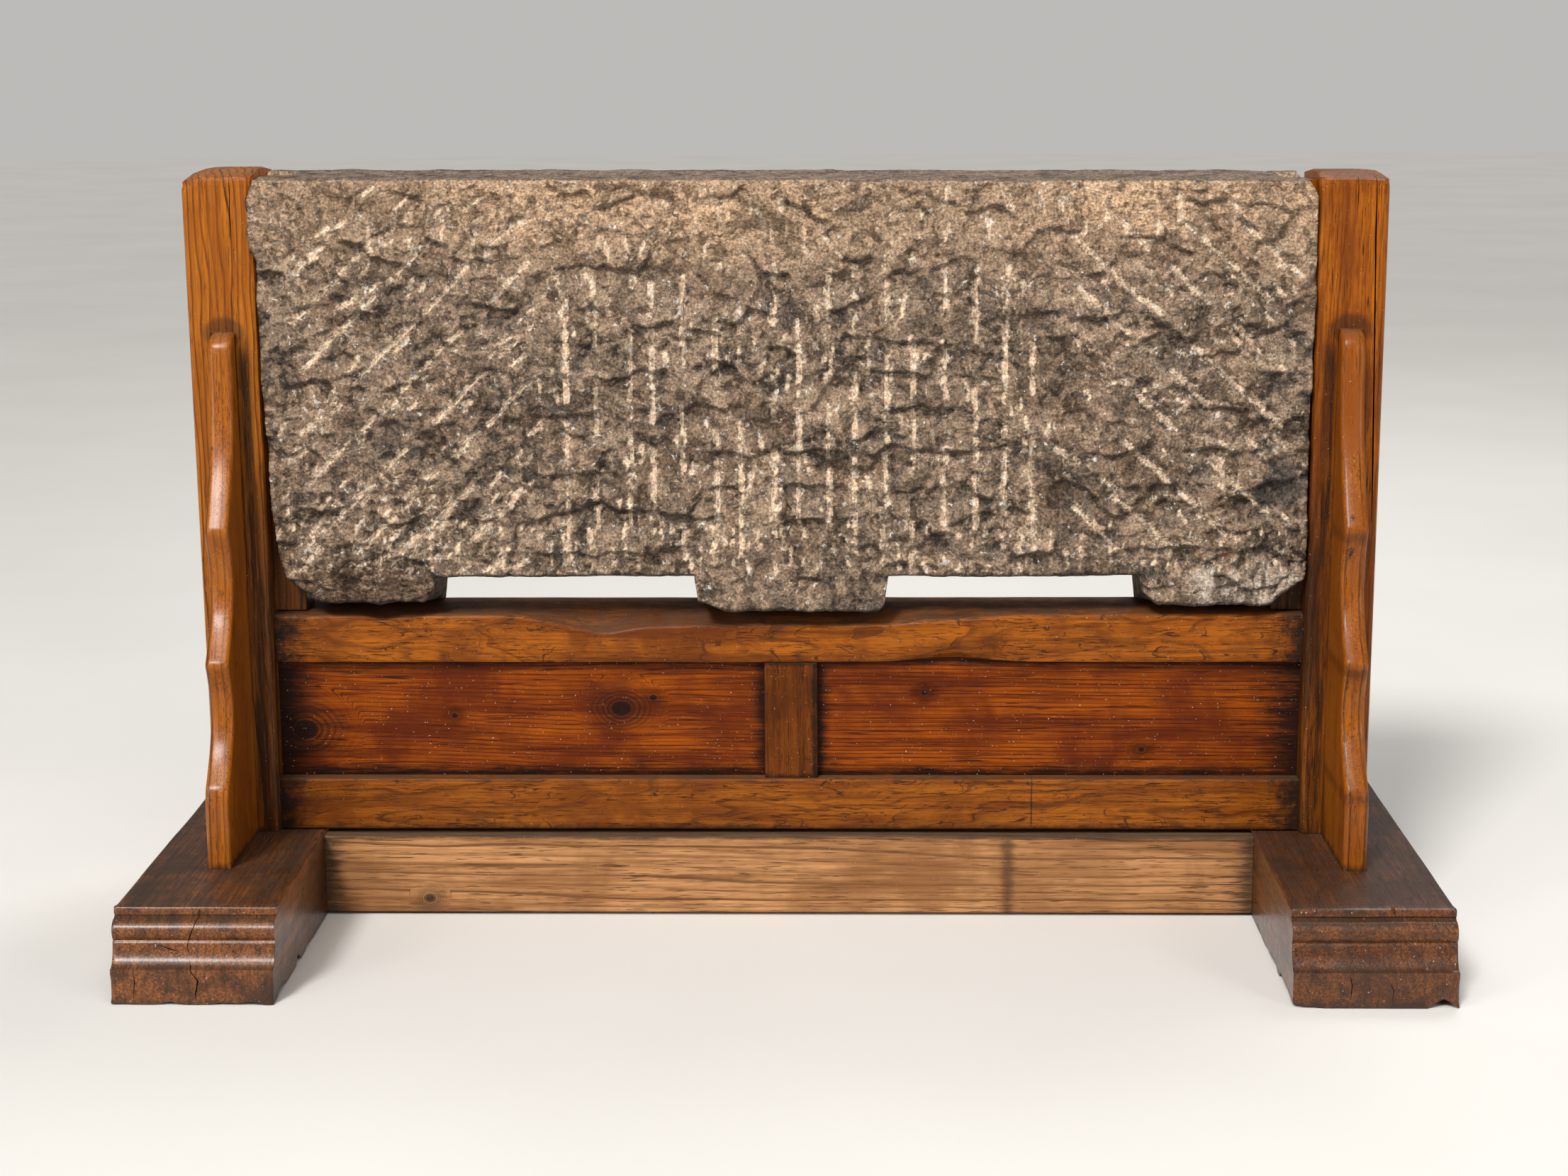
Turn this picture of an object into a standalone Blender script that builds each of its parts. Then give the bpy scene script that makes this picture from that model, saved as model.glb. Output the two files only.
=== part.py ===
"""A rough-chiselled stone slab held upright in a wooden screen stand.

Metres, Z up. The origin is on the floor under the middle of the stand: X runs along the slab,
Y runs from the front (minus) to the back (plus).
"""
import math
import random

import bmesh
import bpy
from mathutils import Vector, noise

# Fit between neighbouring pieces
GAP = 0.0003

# Feet: two moulded shoe blocks running front to back
FOOT_HEIGHT = 0.1005
FOOT_WIDTH = 0.177
FOOT_TOP_LENGTH = 0.684
FOOT_OUTER_X = 0.7255
FOOT_FILLET_HEIGHT = 0.0105
FOOT_BEAD_HEIGHT = 0.0255
FOOT_BEAD_OUT = 0.014
FOOT_COVE_HEIGHT = 0.026
FOOT_COVE_OUT = 0.014
FOOT_QUIRK = 0.002
FOOT_BASE_LEAN = 0.003
FOOT_WORN_EDGE = 0.003

# Posts, with the tongue that holds the slab's end
POST_OUTER_X = 0.6795
POST_WIDTH = 0.078
POST_DEPTH = 0.125
POST_TOP_Z = 0.866
POST_DOME = 0.007
POST_TOP_ROUND = 0.011
POST_EDGE_ROUND = 0.006
POST_TENON_WIDTH = 0.040
POST_TENON_THICK = 0.050
POST_TENON_LENGTH = 0.045
TONGUE_REACH = 0.036
TONGUE_FRONT_SETBACK = 0.033
TONGUE_THICK = 0.048
TONGUE_DROP = 0.004
TONGUE_EDGE_ROUND = 0.003

# Scalloped brackets standing on the feet against the posts
BRACKET_THICK = 0.027
BRACKET_TOP_Z = 0.695
BRACKET_FOOT_REACH = 0.146
BRACKET_SHOULDER_REACH = 0.027
BRACKET_SHOULDER_DROP = 0.022
BRACKET_CUSP_ZS = (0.477, 0.330, 0.193)
BRACKET_CUSP_REACHES = (0.086, 0.115, 0.141)
BRACKET_HOLLOWS = (0.017, 0.0285, 0.027)
BRACKET_EDGE_ROUND = 0.004

# Rails, muntin, panels and stretcher
UPPER_RAIL_TOP_Z = 0.3625
UPPER_RAIL_HEIGHT = 0.060
UPPER_RAIL_DEPTH = 0.092
UPPER_RAIL_WORN_ROUND = 0.004
UPPER_RAIL_LEAST_WEAR = 0.002
RAIL_DISH_DEPTH = 0.0125
RAIL_DISH_LEFT_X = -0.330
RAIL_DISH_LEFT_RUN = 0.090
RAIL_DISH_RIGHT_X = 0.310
RAIL_DISH_RIGHT_RUN = 0.250
RAIL_SCOOP_X = -0.212
RAIL_SCOOP_SPREAD = 0.030
RAIL_SCOOP_DEPTH = 0.007
RAIL_NICK_X = -0.475
RAIL_NICK_SPREAD = 0.018
RAIL_NICK_DEPTH = 0.005
RAIL_WANE_X = 0.193
RAIL_WANE_SPREAD = 0.052
RAIL_WANE_DEPTH = 0.014
RAIL_LEAST_WANE = 0.0005
LOWER_RAIL_CLEARANCE = 0.001
LOWER_RAIL_HEIGHT = 0.0615
LOWER_RAIL_DEPTH = 0.107
LOWER_RAIL_EDGE_ROUND = 0.002
RAIL_TENON_LENGTH = 0.034
RAIL_TENON_HEIGHT = 0.034
RAIL_TENON_THICK = 0.030
MUNTIN_CENTRE_X = 0.005
MUNTIN_WIDTH = 0.062
MUNTIN_PROUD = 0.0015
MUNTIN_THICK = 0.058
MUNTIN_EDGE_ROUND = 0.0015
PANEL_SETBACK = 0.013
PANEL_THICK = 0.018
PANEL_TONGUE = 0.009
PANEL_GROOVE_PLAY = 0.0012
STRETCHER_HEIGHT = 0.0935
STRETCHER_THICK = 0.050
STRETCHER_FRONT_Y = -0.067
STRETCHER_FLOOR_CLEARANCE = 0.003
STRETCHER_EDGE_ROUND = 0.0015
STRETCHER_TENON_LENGTH = 0.040
STRETCHER_TENON_HEIGHT = 0.050
STRETCHER_TENON_THICK = 0.026

# Slab
SLAB_TOP_FRONT_Z = 0.8625
SLAB_TOP_RISE = 0.0065
SLAB_PROUD = 0.006
SLAB_THICKNESS = 0.122
SLAB_FOOT_HEIGHT = 0.0465
SLAB_LEFT_FOOT_WIDTH = 0.1945
SLAB_RIGHT_FOOT_WIDTH = 0.1925
SLAB_MIDDLE_FOOT_X = 0.0065
SLAB_MIDDLE_FOOT_WIDTH = 0.225
SLAB_END_PLAY = 0.0005
SLAB_GROOVE_PLAY = 0.002
SLAB_COLUMNS = 30
SLAB_ROWS = 11
ARRIS = 0.010
ARRIS_WEAR = 0.007
FLAKE_LENGTH = 0.110
FLAKE_DEPTH = 0.006
CHIP_LENGTH = 0.042
CHIP_DEPTH = 0.003
BACK_RELIEF = 0.004

# Where the slab's ends pull in, as (height over the rail, distance in from the widest line)
LEFT_END_INSETS = (
    (0.000, 0.052),
    (0.016, 0.044),
    (0.030, 0.027),
    (0.047, 0.017),
    (0.068, 0.012),
    (0.150, 0.006),
    (0.290, 0.002),
    (0.370, 0.000),
    (0.414, 0.002),
    (0.440, 0.000),
    (0.482, 0.001),
    (0.500, 0.010),
)
RIGHT_END_INSETS = (
    (0.000, 0.040),
    (0.012, 0.031),
    (0.040, 0.002),
    (0.060, 0.001),
    (0.180, 0.003),
    (0.330, 0.001),
    (0.435, 0.000),
    (0.484, 0.001),
    (0.500, 0.011),
)

# Gaps between the slab's three feet
NOTCH_SLOPE = 0.005
NOTCH_CORNER = 0.007

# Chisel furrows: fields of broken parallel strokes on the front face
FURROW_WIDTH = 0.008
FURROW_DEPTH = 0.0045
FURROW_MARGIN = 0.012
FURROW_SHORTEST = 0.045
FURROW_LONGEST = 0.190
SIDE_FURROW_LONGEST = 0.150
FURROW_LEAST_PAUSE = 0.020
FURROW_MOST_PAUSE = 0.060
FURROW_SPACING = 0.033
SIDE_FURROW_SPACING = 0.046
FIELD_FOOT = 0.056
FIELD_HEAD = 0.040
MIDDLE_FIELD_HEAD = 0.090
FIELD_PARTING = 0.014
MIDDLE_FIELD_LEFT_X = -0.275
MIDDLE_FIELD_RIGHT_X = 0.310
LEFT_FIELD_LEAN_DEGREES = 46.0
RIGHT_FIELD_LEAN_DEGREES = -48.0
FURROW_STRAY_SHARE = 0.12
FURROW_STEPS = 40
FURROW_SEED = 11

# Colours (linear RGB) and roughness
STONE_COLOUR = (0.085, 0.068, 0.050, 1.0)
HONEY_COLOUR = (0.36, 0.145, 0.028, 1.0)
RAIL_COLOUR = (0.28, 0.115, 0.032, 1.0)
PANEL_COLOUR = (0.22, 0.050, 0.012, 1.0)
STRETCHER_COLOUR = (0.30, 0.165, 0.075, 1.0)
FOOT_COLOUR = (0.085, 0.030, 0.012, 1.0)

# Places worked out from the sizes above
POST_INNER_X = POST_OUTER_X - POST_WIDTH
POST_CENTRE_X = POST_OUTER_X - POST_WIDTH / 2
POST_FRONT_Y = -POST_DEPTH / 2
FOOT_INNER_X = FOOT_OUTER_X - FOOT_WIDTH
SEAT_Z = FOOT_HEIGHT + GAP
TONGUE_INNER_X = POST_INNER_X - TONGUE_REACH
TONGUE_FRONT_Y = POST_FRONT_Y + TONGUE_FRONT_SETBACK
TONGUE_BACK_Y = TONGUE_FRONT_Y + TONGUE_THICK
UPPER_RAIL_BOTTOM_Z = UPPER_RAIL_TOP_Z - UPPER_RAIL_HEIGHT
UPPER_RAIL_FRONT_Y = -UPPER_RAIL_DEPTH / 2
LOWER_RAIL_BOTTOM_Z = FOOT_HEIGHT + LOWER_RAIL_CLEARANCE
LOWER_RAIL_TOP_Z = LOWER_RAIL_BOTTOM_Z + LOWER_RAIL_HEIGHT
RAIL_HALF_LENGTH = POST_INNER_X - GAP
MUNTIN_FRONT_Y = UPPER_RAIL_FRONT_Y - MUNTIN_PROUD
PANEL_FRONT_Y = UPPER_RAIL_FRONT_Y + PANEL_SETBACK
SLAB_BOTTOM_Z = UPPER_RAIL_TOP_Z + GAP
SLAB_FRONT_Y = POST_FRONT_Y - SLAB_PROUD
SLAB_BACK_Y = SLAB_FRONT_Y + SLAB_THICKNESS
SLAB_HALF_WIDTH = POST_INNER_X - SLAB_END_PLAY


def clear_scene():
    """Remove whatever the file holds."""
    for old in list(bpy.data.objects):
        bpy.data.objects.remove(old, do_unlink=True)


def make_material(name, colour, roughness):
    """A plain Principled material."""
    material = bpy.data.materials.new(name)
    material.use_nodes = True
    shader = material.node_tree.nodes["Principled BSDF"]
    shader.inputs["Base Color"].default_value = colour
    shader.inputs["Roughness"].default_value = roughness
    shader.inputs["Metallic"].default_value = 0.0
    return material


def add_object(name, bm, material=None):
    """Turn a bmesh into a named object with its faces pointing out."""
    bmesh.ops.recalc_face_normals(bm, faces=bm.faces)
    mesh = bpy.data.meshes.new(name)
    bm.to_mesh(mesh)
    bm.free()
    made = bpy.data.objects.new(name, mesh)
    bpy.context.scene.collection.objects.link(made)
    if material:
        mesh.materials.append(material)
    return made


def box_bmesh(low, high):
    """A box between two corners."""
    bm = bmesh.new()
    bmesh.ops.create_cube(bm, size=1.0)
    for vert in bm.verts:
        for axis in range(3):
            middle = (low[axis] + high[axis]) / 2
            vert.co[axis] = middle + vert.co[axis] * (high[axis] - low[axis])
    return bm


def round_edges(bm, edges, radius, segments):
    """Round some edges of a bmesh."""
    bmesh.ops.bevel(bm, geom=list(edges), offset=radius, segments=segments, profile=0.5,
                    affect='EDGES', clamp_overlap=True)


def extruded_outline(points, low_x, high_x):
    """Extrude a closed outline of (y, z) points along X."""
    bm = bmesh.new()
    ring = [bm.verts.new((low_x, y, z)) for y, z in points]
    face = bm.faces.new(ring)
    moved = bmesh.ops.extrude_face_region(bm, geom=[face])["geom"]
    for element in moved:
        if isinstance(element, bmesh.types.BMVert):
            element.co.x = high_x
    return bm


def boolean(host, tool, operation):
    """Join or cut a host with a hidden tool."""
    tool.hide_render = True
    tool.display_type = 'WIRE'
    modifier = host.modifiers.new(tool.name, 'BOOLEAN')
    modifier.operation = operation
    modifier.solver = 'EXACT'
    modifier.object = tool


def join_block(host, label, low, high):
    """Join a block to a host."""
    boolean(host, add_object(host.name + "_" + label, box_bmesh(low, high)), 'UNION')


def cut_block(host, label, low, high, play=GAP):
    """Cut the room for a block, with some play around it, out of a host."""
    roomy_low = [value - play for value in low]
    roomy_high = [value + play for value in high]
    tool = add_object(host.name + "_" + label, box_bmesh(roomy_low, roomy_high))
    boolean(host, tool, 'DIFFERENCE')


def mirrored(low, high, side):
    """Mirror a block's corners to the left (-1) or keep them right (+1)."""
    if side > 0:
        return low, high
    return (-high[0], low[1], low[2]), (-low[0], high[1], high[2])


def shade(made, angle_degrees):
    """Shade round faces smooth and keep sharp edges sharp."""
    made.data.shade_smooth()
    made.data.set_sharp_from_angle(angle=math.radians(angle_degrees))


def interpolate(table, height):
    """Read a value from a table of (height, value) rows."""
    if height <= table[0][0]:
        return table[0][1]
    for (low, start), (high, end) in zip(table, table[1:]):
        if height <= high:
            return start + (end - start) * (height - low) / (high - low)
    return table[-1][1]


def smooth_step(start, end, value):
    """Rise smoothly from 0 at start to 1 at end."""
    share = min(max((value - start) / (end - start), 0.0), 1.0)
    return share * share * (3 - 2 * share)


def bump(centre, spread, value):
    """A smooth hump of height 1."""
    return math.exp(-((value - centre) / spread) ** 2)


# Blocks that one piece has and another makes room for

def post_tenon_block():
    """Tenon under the right post."""
    return ((POST_CENTRE_X - POST_TENON_WIDTH / 2, -POST_TENON_THICK / 2, SEAT_Z - POST_TENON_LENGTH),
            (POST_CENTRE_X + POST_TENON_WIDTH / 2, POST_TENON_THICK / 2, SEAT_Z))


def rail_tenon_block(bottom_z, height):
    """Tenon at the right end of a rail."""
    middle_z = bottom_z + height / 2
    return ((RAIL_HALF_LENGTH, -RAIL_TENON_THICK / 2, middle_z - RAIL_TENON_HEIGHT / 2),
            (RAIL_HALF_LENGTH + RAIL_TENON_LENGTH, RAIL_TENON_THICK / 2,
             middle_z + RAIL_TENON_HEIGHT / 2))


def stretcher_tenon_block():
    """Tenon at the right end of the stretcher."""
    middle_y = STRETCHER_FRONT_Y + STRETCHER_THICK / 2
    middle_z = STRETCHER_FLOOR_CLEARANCE + STRETCHER_HEIGHT / 2
    end_x = FOOT_INNER_X - GAP
    return ((end_x, middle_y - STRETCHER_TENON_THICK / 2, middle_z - STRETCHER_TENON_HEIGHT / 2),
            (end_x + STRETCHER_TENON_LENGTH, middle_y + STRETCHER_TENON_THICK / 2,
             middle_z + STRETCHER_TENON_HEIGHT / 2))


def panel_block(side):
    """A panel with the edges that sit in its frame's grooves."""
    muntin_side_x = MUNTIN_CENTRE_X + side * MUNTIN_WIDTH / 2
    inner_x = muntin_side_x - side * PANEL_TONGUE
    outer_x = side * (POST_INNER_X + PANEL_TONGUE)
    return ((min(inner_x, outer_x), PANEL_FRONT_Y, LOWER_RAIL_TOP_Z - PANEL_TONGUE),
            (max(inner_x, outer_x), PANEL_FRONT_Y + PANEL_THICK, UPPER_RAIL_BOTTOM_Z + PANEL_TONGUE))


# Feet

def foot_end_profile():
    """Half the foot's side outline, from the floor up the moulded end, as (reach, z)."""
    top_reach = FOOT_TOP_LENGTH / 2
    cove_foot_z = FOOT_HEIGHT - FOOT_FILLET_HEIGHT - FOOT_BEAD_HEIGHT - FOOT_COVE_HEIGHT
    cove_reach = top_reach + FOOT_BEAD_OUT + FOOT_COVE_OUT
    points = [(cove_reach + FOOT_BASE_LEAN, 0.0), (cove_reach, cove_foot_z)]
    for step in range(1, 6):
        turn = math.radians(90 * step / 5)
        points.append((cove_reach - FOOT_COVE_OUT * math.sin(turn) - FOOT_QUIRK * step / 5,
                       cove_foot_z + FOOT_COVE_HEIGHT * (1 - math.cos(turn))))
    bead_low_z = cove_foot_z + FOOT_COVE_HEIGHT
    for step in range(6):
        turn = math.radians(-50 + 140 * step / 5)
        points.append((top_reach + FOOT_BEAD_OUT * math.cos(turn),
                       bead_low_z + FOOT_BEAD_HEIGHT * (0.42 + 0.52 * math.sin(turn))))
    fillet_z = FOOT_HEIGHT - FOOT_FILLET_HEIGHT
    points.append((top_reach - FOOT_QUIRK, fillet_z))
    points.append((top_reach, fillet_z + FOOT_QUIRK))
    points.append((top_reach, FOOT_HEIGHT - FOOT_WORN_EDGE))
    points.append((top_reach - FOOT_WORN_EDGE, FOOT_HEIGHT))
    return points


def make_foot(name, side, material):
    """A shoe block with a moulded end front and back."""
    half = foot_end_profile()
    outline = [(reach, z) for reach, z in half] + [(-reach, z) for reach, z in reversed(half)]
    low_x, high_x = sorted((side * FOOT_INNER_X, side * FOOT_OUTER_X))
    bm = extruded_outline(outline, low_x, high_x)
    top_edges = [edge for edge in bm.edges
                 if all(vert.co.z > FOOT_HEIGHT - FOOT_WORN_EDGE / 2 for vert in edge.verts)
                 and abs(edge.verts[0].co.y - edge.verts[1].co.y) > FOOT_TOP_LENGTH / 2]
    round_edges(bm, top_edges, FOOT_WORN_EDGE, 2)
    foot = add_object(name, bm, material)
    cut_block(foot, "post_mortise", *mirrored(*post_tenon_block(), side))
    cut_block(foot, "stretcher_mortise", *mirrored(*stretcher_tenon_block(), side))
    shade(foot, 30)
    return foot


# Posts

def post_outline():
    """Side outline of a post as (y, z): square foot, rounded and slightly domed top."""
    half = POST_DEPTH / 2
    points = [(-half, SEAT_Z), (half, SEAT_Z)]
    for centre_y, start in ((half - POST_TOP_ROUND, 0), (-half + POST_TOP_ROUND, 90)):
        for step in range(5):
            turn = math.radians(start + 90 * step / 4)
            dome = POST_DOME * (1 - (centre_y / half) ** 2) / 2
            points.append((centre_y + POST_TOP_ROUND * math.cos(turn),
                           POST_TOP_Z - POST_TOP_ROUND + dome + POST_TOP_ROUND * math.sin(turn)))
        if start == 0:
            for share in (0.4, 0.0, -0.4):
                points.append((share * half, POST_TOP_Z + POST_DOME * (1 - share * share)))
    return points


def make_post(name, side, material):
    """A post with its tenon below and its tongue towards the slab."""
    low_x, high_x = sorted((side * POST_INNER_X, side * POST_OUTER_X))
    bm = extruded_outline(post_outline(), low_x, high_x)
    cap_edges = [edge for edge in bm.edges
                 if abs(edge.verts[0].co.x - edge.verts[1].co.x) < GAP
                 and max(vert.co.z for vert in edge.verts) > SEAT_Z + GAP]
    round_edges(bm, cap_edges, POST_EDGE_ROUND, 2)
    post = add_object(name, bm, material)

    tongue_low = (TONGUE_INNER_X, TONGUE_FRONT_Y, UPPER_RAIL_TOP_Z + GAP)
    tongue_high = (POST_CENTRE_X, TONGUE_BACK_Y, POST_TOP_Z - TONGUE_DROP)
    tongue = box_bmesh(*mirrored(tongue_low, tongue_high, side))
    nose_edges = [edge for edge in tongue.edges
                  if all(abs(vert.co.x - side * TONGUE_INNER_X) < GAP for vert in edge.verts)
                  and max(vert.co.z for vert in edge.verts) > UPPER_RAIL_TOP_Z + 2 * GAP]
    round_edges(tongue, nose_edges, TONGUE_EDGE_ROUND, 2)
    boolean(post, add_object(name + "_tongue", tongue), 'UNION')

    tenon_low, tenon_high = post_tenon_block()
    join_block(post, "tenon", *mirrored(tenon_low, (tenon_high[0], tenon_high[1], SEAT_Z + GAP), side))
    upper = rail_tenon_block(UPPER_RAIL_BOTTOM_Z, UPPER_RAIL_HEIGHT)
    lower = rail_tenon_block(LOWER_RAIL_BOTTOM_Z, LOWER_RAIL_HEIGHT)
    cut_block(post, "upper_mortise", *mirrored(*upper, side))
    cut_block(post, "lower_mortise", *mirrored(*lower, side))
    cut_block(post, "panel_groove", *panel_block(side), play=PANEL_GROOVE_PLAY)
    shade(post, 35)
    return post


# Brackets

def bracket_outline():
    """Side outline of a front bracket as (y, z): three scallops, each ending in a cusp."""
    back_y = POST_FRONT_Y - GAP
    shoulder_z = BRACKET_TOP_Z - BRACKET_SHOULDER_DROP
    points = [(back_y, SEAT_Z), (back_y, BRACKET_TOP_Z)]
    for step in range(1, 4):
        turn = math.radians(90 * step / 3)
        points.append((back_y - BRACKET_SHOULDER_REACH * math.sin(turn),
                       shoulder_z + BRACKET_SHOULDER_DROP * math.cos(turn)))
    start_z, start_reach = shoulder_z, BRACKET_SHOULDER_REACH
    for cusp_z, cusp_reach, hollow in zip(BRACKET_CUSP_ZS, BRACKET_CUSP_REACHES, BRACKET_HOLLOWS):
        for step in range(1, 8):
            share = step / 7
            reach = start_reach + (cusp_reach - start_reach) * share
            reach -= hollow * math.sin(math.pi * share)
            points.append((back_y - reach, start_z + (cusp_z - start_z) * share))
        start_z, start_reach = cusp_z, cusp_reach
    straight_z = start_z - (BRACKET_FOOT_REACH - start_reach) * 4
    points.append((back_y - BRACKET_FOOT_REACH, straight_z))
    points.append((back_y - BRACKET_FOOT_REACH, SEAT_Z))
    return points


def make_bracket(name, side, front, material):
    """A standing bracket; front is -1 for the front pair and +1 for the back pair."""
    outline = [(-front * y, z) for y, z in bracket_outline()]
    centre_x = side * POST_CENTRE_X
    bm = extruded_outline(outline, centre_x - BRACKET_THICK / 2, centre_x + BRACKET_THICK / 2)
    seat = abs(POST_FRONT_Y) + 2 * GAP
    show_edges = [edge for edge in bm.edges
                  if abs(edge.verts[0].co.x - edge.verts[1].co.x) < GAP
                  and max(abs(vert.co.y) for vert in edge.verts) > seat
                  and max(vert.co.z for vert in edge.verts) > SEAT_Z + GAP]
    round_edges(bm, show_edges, BRACKET_EDGE_ROUND, 1)
    bracket = add_object(name, bm, material)
    shade(bracket, 40)
    return bracket


# Rails, muntin, panels and stretcher

def rail_wear(x):
    """How deep the upper rail's front top edge is worn at x."""
    dish = RAIL_DISH_DEPTH * smooth_step(RAIL_DISH_LEFT_X, RAIL_DISH_LEFT_X + RAIL_DISH_LEFT_RUN, x)
    dish *= 1 - smooth_step(RAIL_DISH_RIGHT_X - RAIL_DISH_RIGHT_RUN, RAIL_DISH_RIGHT_X, x)
    scoop = RAIL_SCOOP_DEPTH * bump(RAIL_SCOOP_X, RAIL_SCOOP_SPREAD, x)
    nick = RAIL_NICK_DEPTH * bump(RAIL_NICK_X, RAIL_NICK_SPREAD, x)
    return UPPER_RAIL_LEAST_WEAR + dish + scoop + nick


def rail_wane(x):
    """How far the upper rail's front lower edge is rounded away at x."""
    return RAIL_LEAST_WANE + RAIL_WANE_DEPTH * bump(RAIL_WANE_X, RAIL_WANE_SPREAD, x)


def upper_rail_section(x):
    """The upper rail's section at x, as (y, z) points from the front lower edge round."""
    front, back = UPPER_RAIL_FRONT_Y, -UPPER_RAIL_FRONT_Y
    wear, wane = rail_wear(x), rail_wane(x)
    return [
        (front, UPPER_RAIL_BOTTOM_Z + wane),
        (front, UPPER_RAIL_TOP_Z - wear - UPPER_RAIL_WORN_ROUND),
        (front + UPPER_RAIL_WORN_ROUND * 0.4, UPPER_RAIL_TOP_Z - wear - UPPER_RAIL_WORN_ROUND * 0.3),
        (front + UPPER_RAIL_WORN_ROUND, UPPER_RAIL_TOP_Z - wear),
        (front * 0.25, UPPER_RAIL_TOP_Z - wear * 0.25),
        (back * 0.30, UPPER_RAIL_TOP_Z),
        (back, UPPER_RAIL_TOP_Z),
        (back, UPPER_RAIL_BOTTOM_Z),
        (front + wane + UPPER_RAIL_WORN_ROUND, UPPER_RAIL_BOTTOM_Z),
    ]


def make_upper_rail(material):
    """The thick rail under the slab, its front edge worn wavy."""
    stations = 28
    bm = bmesh.new()
    rings = []
    for station in range(stations + 1):
        x = RAIL_HALF_LENGTH * (2 * station / stations - 1)
        rings.append([bm.verts.new((x, y, z)) for y, z in upper_rail_section(x)])
    for first, second in zip(rings, rings[1:]):
        for index in range(len(first)):
            following = (index + 1) % len(first)
            bm.faces.new((first[index], first[following], second[following], second[index]))
    bm.faces.new(rings[0])
    bm.faces.new(rings[-1])
    rail = add_object("upper_rail", bm, material)
    for side in (-1, 1):
        label = "tenon_left" if side < 0 else "tenon_right"
        low, high = rail_tenon_block(UPPER_RAIL_BOTTOM_Z, UPPER_RAIL_HEIGHT)
        join_block(rail, label, *mirrored((low[0] - GAP, low[1], low[2]), high, side))
        label = "panel_groove_left" if side < 0 else "panel_groove_right"
        cut_block(rail, label, *panel_block(side), play=PANEL_GROOVE_PLAY)
    shade(rail, 35)
    return rail


def make_lower_rail(material):
    """The rail below the panels."""
    bm = box_bmesh((-RAIL_HALF_LENGTH, -LOWER_RAIL_DEPTH / 2, LOWER_RAIL_BOTTOM_Z),
                   (RAIL_HALF_LENGTH, LOWER_RAIL_DEPTH / 2, LOWER_RAIL_TOP_Z))
    long_edges = [edge for edge in bm.edges
                  if abs(edge.verts[0].co.x - edge.verts[1].co.x) > RAIL_HALF_LENGTH]
    round_edges(bm, long_edges, LOWER_RAIL_EDGE_ROUND, 2)
    rail = add_object("lower_rail", bm, material)
    for side in (-1, 1):
        label = "tenon_left" if side < 0 else "tenon_right"
        low, high = rail_tenon_block(LOWER_RAIL_BOTTOM_Z, LOWER_RAIL_HEIGHT)
        join_block(rail, label, *mirrored((low[0] - GAP, low[1], low[2]), high, side))
        label = "panel_groove_left" if side < 0 else "panel_groove_right"
        cut_block(rail, label, *panel_block(side), play=PANEL_GROOVE_PLAY)
    shade(rail, 35)
    return rail


def make_muntin(material):
    """The short upright between the panels."""
    bm = box_bmesh((MUNTIN_CENTRE_X - MUNTIN_WIDTH / 2, MUNTIN_FRONT_Y, LOWER_RAIL_TOP_Z + GAP),
                   (MUNTIN_CENTRE_X + MUNTIN_WIDTH / 2, MUNTIN_FRONT_Y + MUNTIN_THICK,
                    UPPER_RAIL_BOTTOM_Z - GAP))
    upright_edges = [edge for edge in bm.edges
                     if abs(edge.verts[0].co.z - edge.verts[1].co.z) > MUNTIN_WIDTH]
    round_edges(bm, upright_edges, MUNTIN_EDGE_ROUND, 2)
    muntin = add_object("muntin", bm, material)
    for side in (-1, 1):
        label = "panel_groove_left" if side < 0 else "panel_groove_right"
        cut_block(muntin, label, *panel_block(side), play=PANEL_GROOVE_PLAY)
    shade(muntin, 35)
    return muntin


def make_panel(name, side, material):
    """A thin board held in grooves all round."""
    return add_object(name, box_bmesh(*panel_block(side)), material)


def make_stretcher(material):
    """The board between the feet."""
    end_x = FOOT_INNER_X - GAP
    bm = box_bmesh((-end_x, STRETCHER_FRONT_Y, STRETCHER_FLOOR_CLEARANCE),
                   (end_x, STRETCHER_FRONT_Y + STRETCHER_THICK,
                    STRETCHER_FLOOR_CLEARANCE + STRETCHER_HEIGHT))
    long_edges = [edge for edge in bm.edges
                  if abs(edge.verts[0].co.x - edge.verts[1].co.x) > end_x]
    round_edges(bm, long_edges, STRETCHER_EDGE_ROUND, 2)
    stretcher = add_object("stretcher", bm, material)
    for side in (-1, 1):
        label = "tenon_left" if side < 0 else "tenon_right"
        low, high = stretcher_tenon_block()
        join_block(stretcher, label, *mirrored((low[0] - GAP, low[1], low[2]), high, side))
    shade(stretcher, 35)
    return stretcher


# Slab

def slab_ends(z):
    """The slab's left and right ends at a height."""
    over_rail = z - SLAB_BOTTOM_Z
    left = -SLAB_HALF_WIDTH + interpolate(LEFT_END_INSETS, over_rail)
    right = SLAB_HALF_WIDTH - interpolate(RIGHT_END_INSETS, over_rail)
    return left, right


def front_relief(x, z):
    """How far the rough front lies behind its plane, in broad flakes and smaller chips."""
    broad = noise.noise(Vector((x / FLAKE_LENGTH, z / FLAKE_LENGTH * 1.6, 3.7)))
    small = noise.noise(Vector((x / CHIP_LENGTH, z / CHIP_LENGTH * 1.4, 9.2)))
    return FLAKE_DEPTH * (0.5 - broad) + CHIP_DEPTH * small


def back_relief(x, z):
    """How far the plainer back lies inside its plane."""
    return BACK_RELIEF * (0.5 + noise.noise(Vector((x / FLAKE_LENGTH, z / FLAKE_LENGTH, 21.3))))


def edge_wear(distance):
    """How much an arris is worn back at a distance from it."""
    return ARRIS_WEAR * (1 - smooth_step(0.0, ARRIS, distance))


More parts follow.
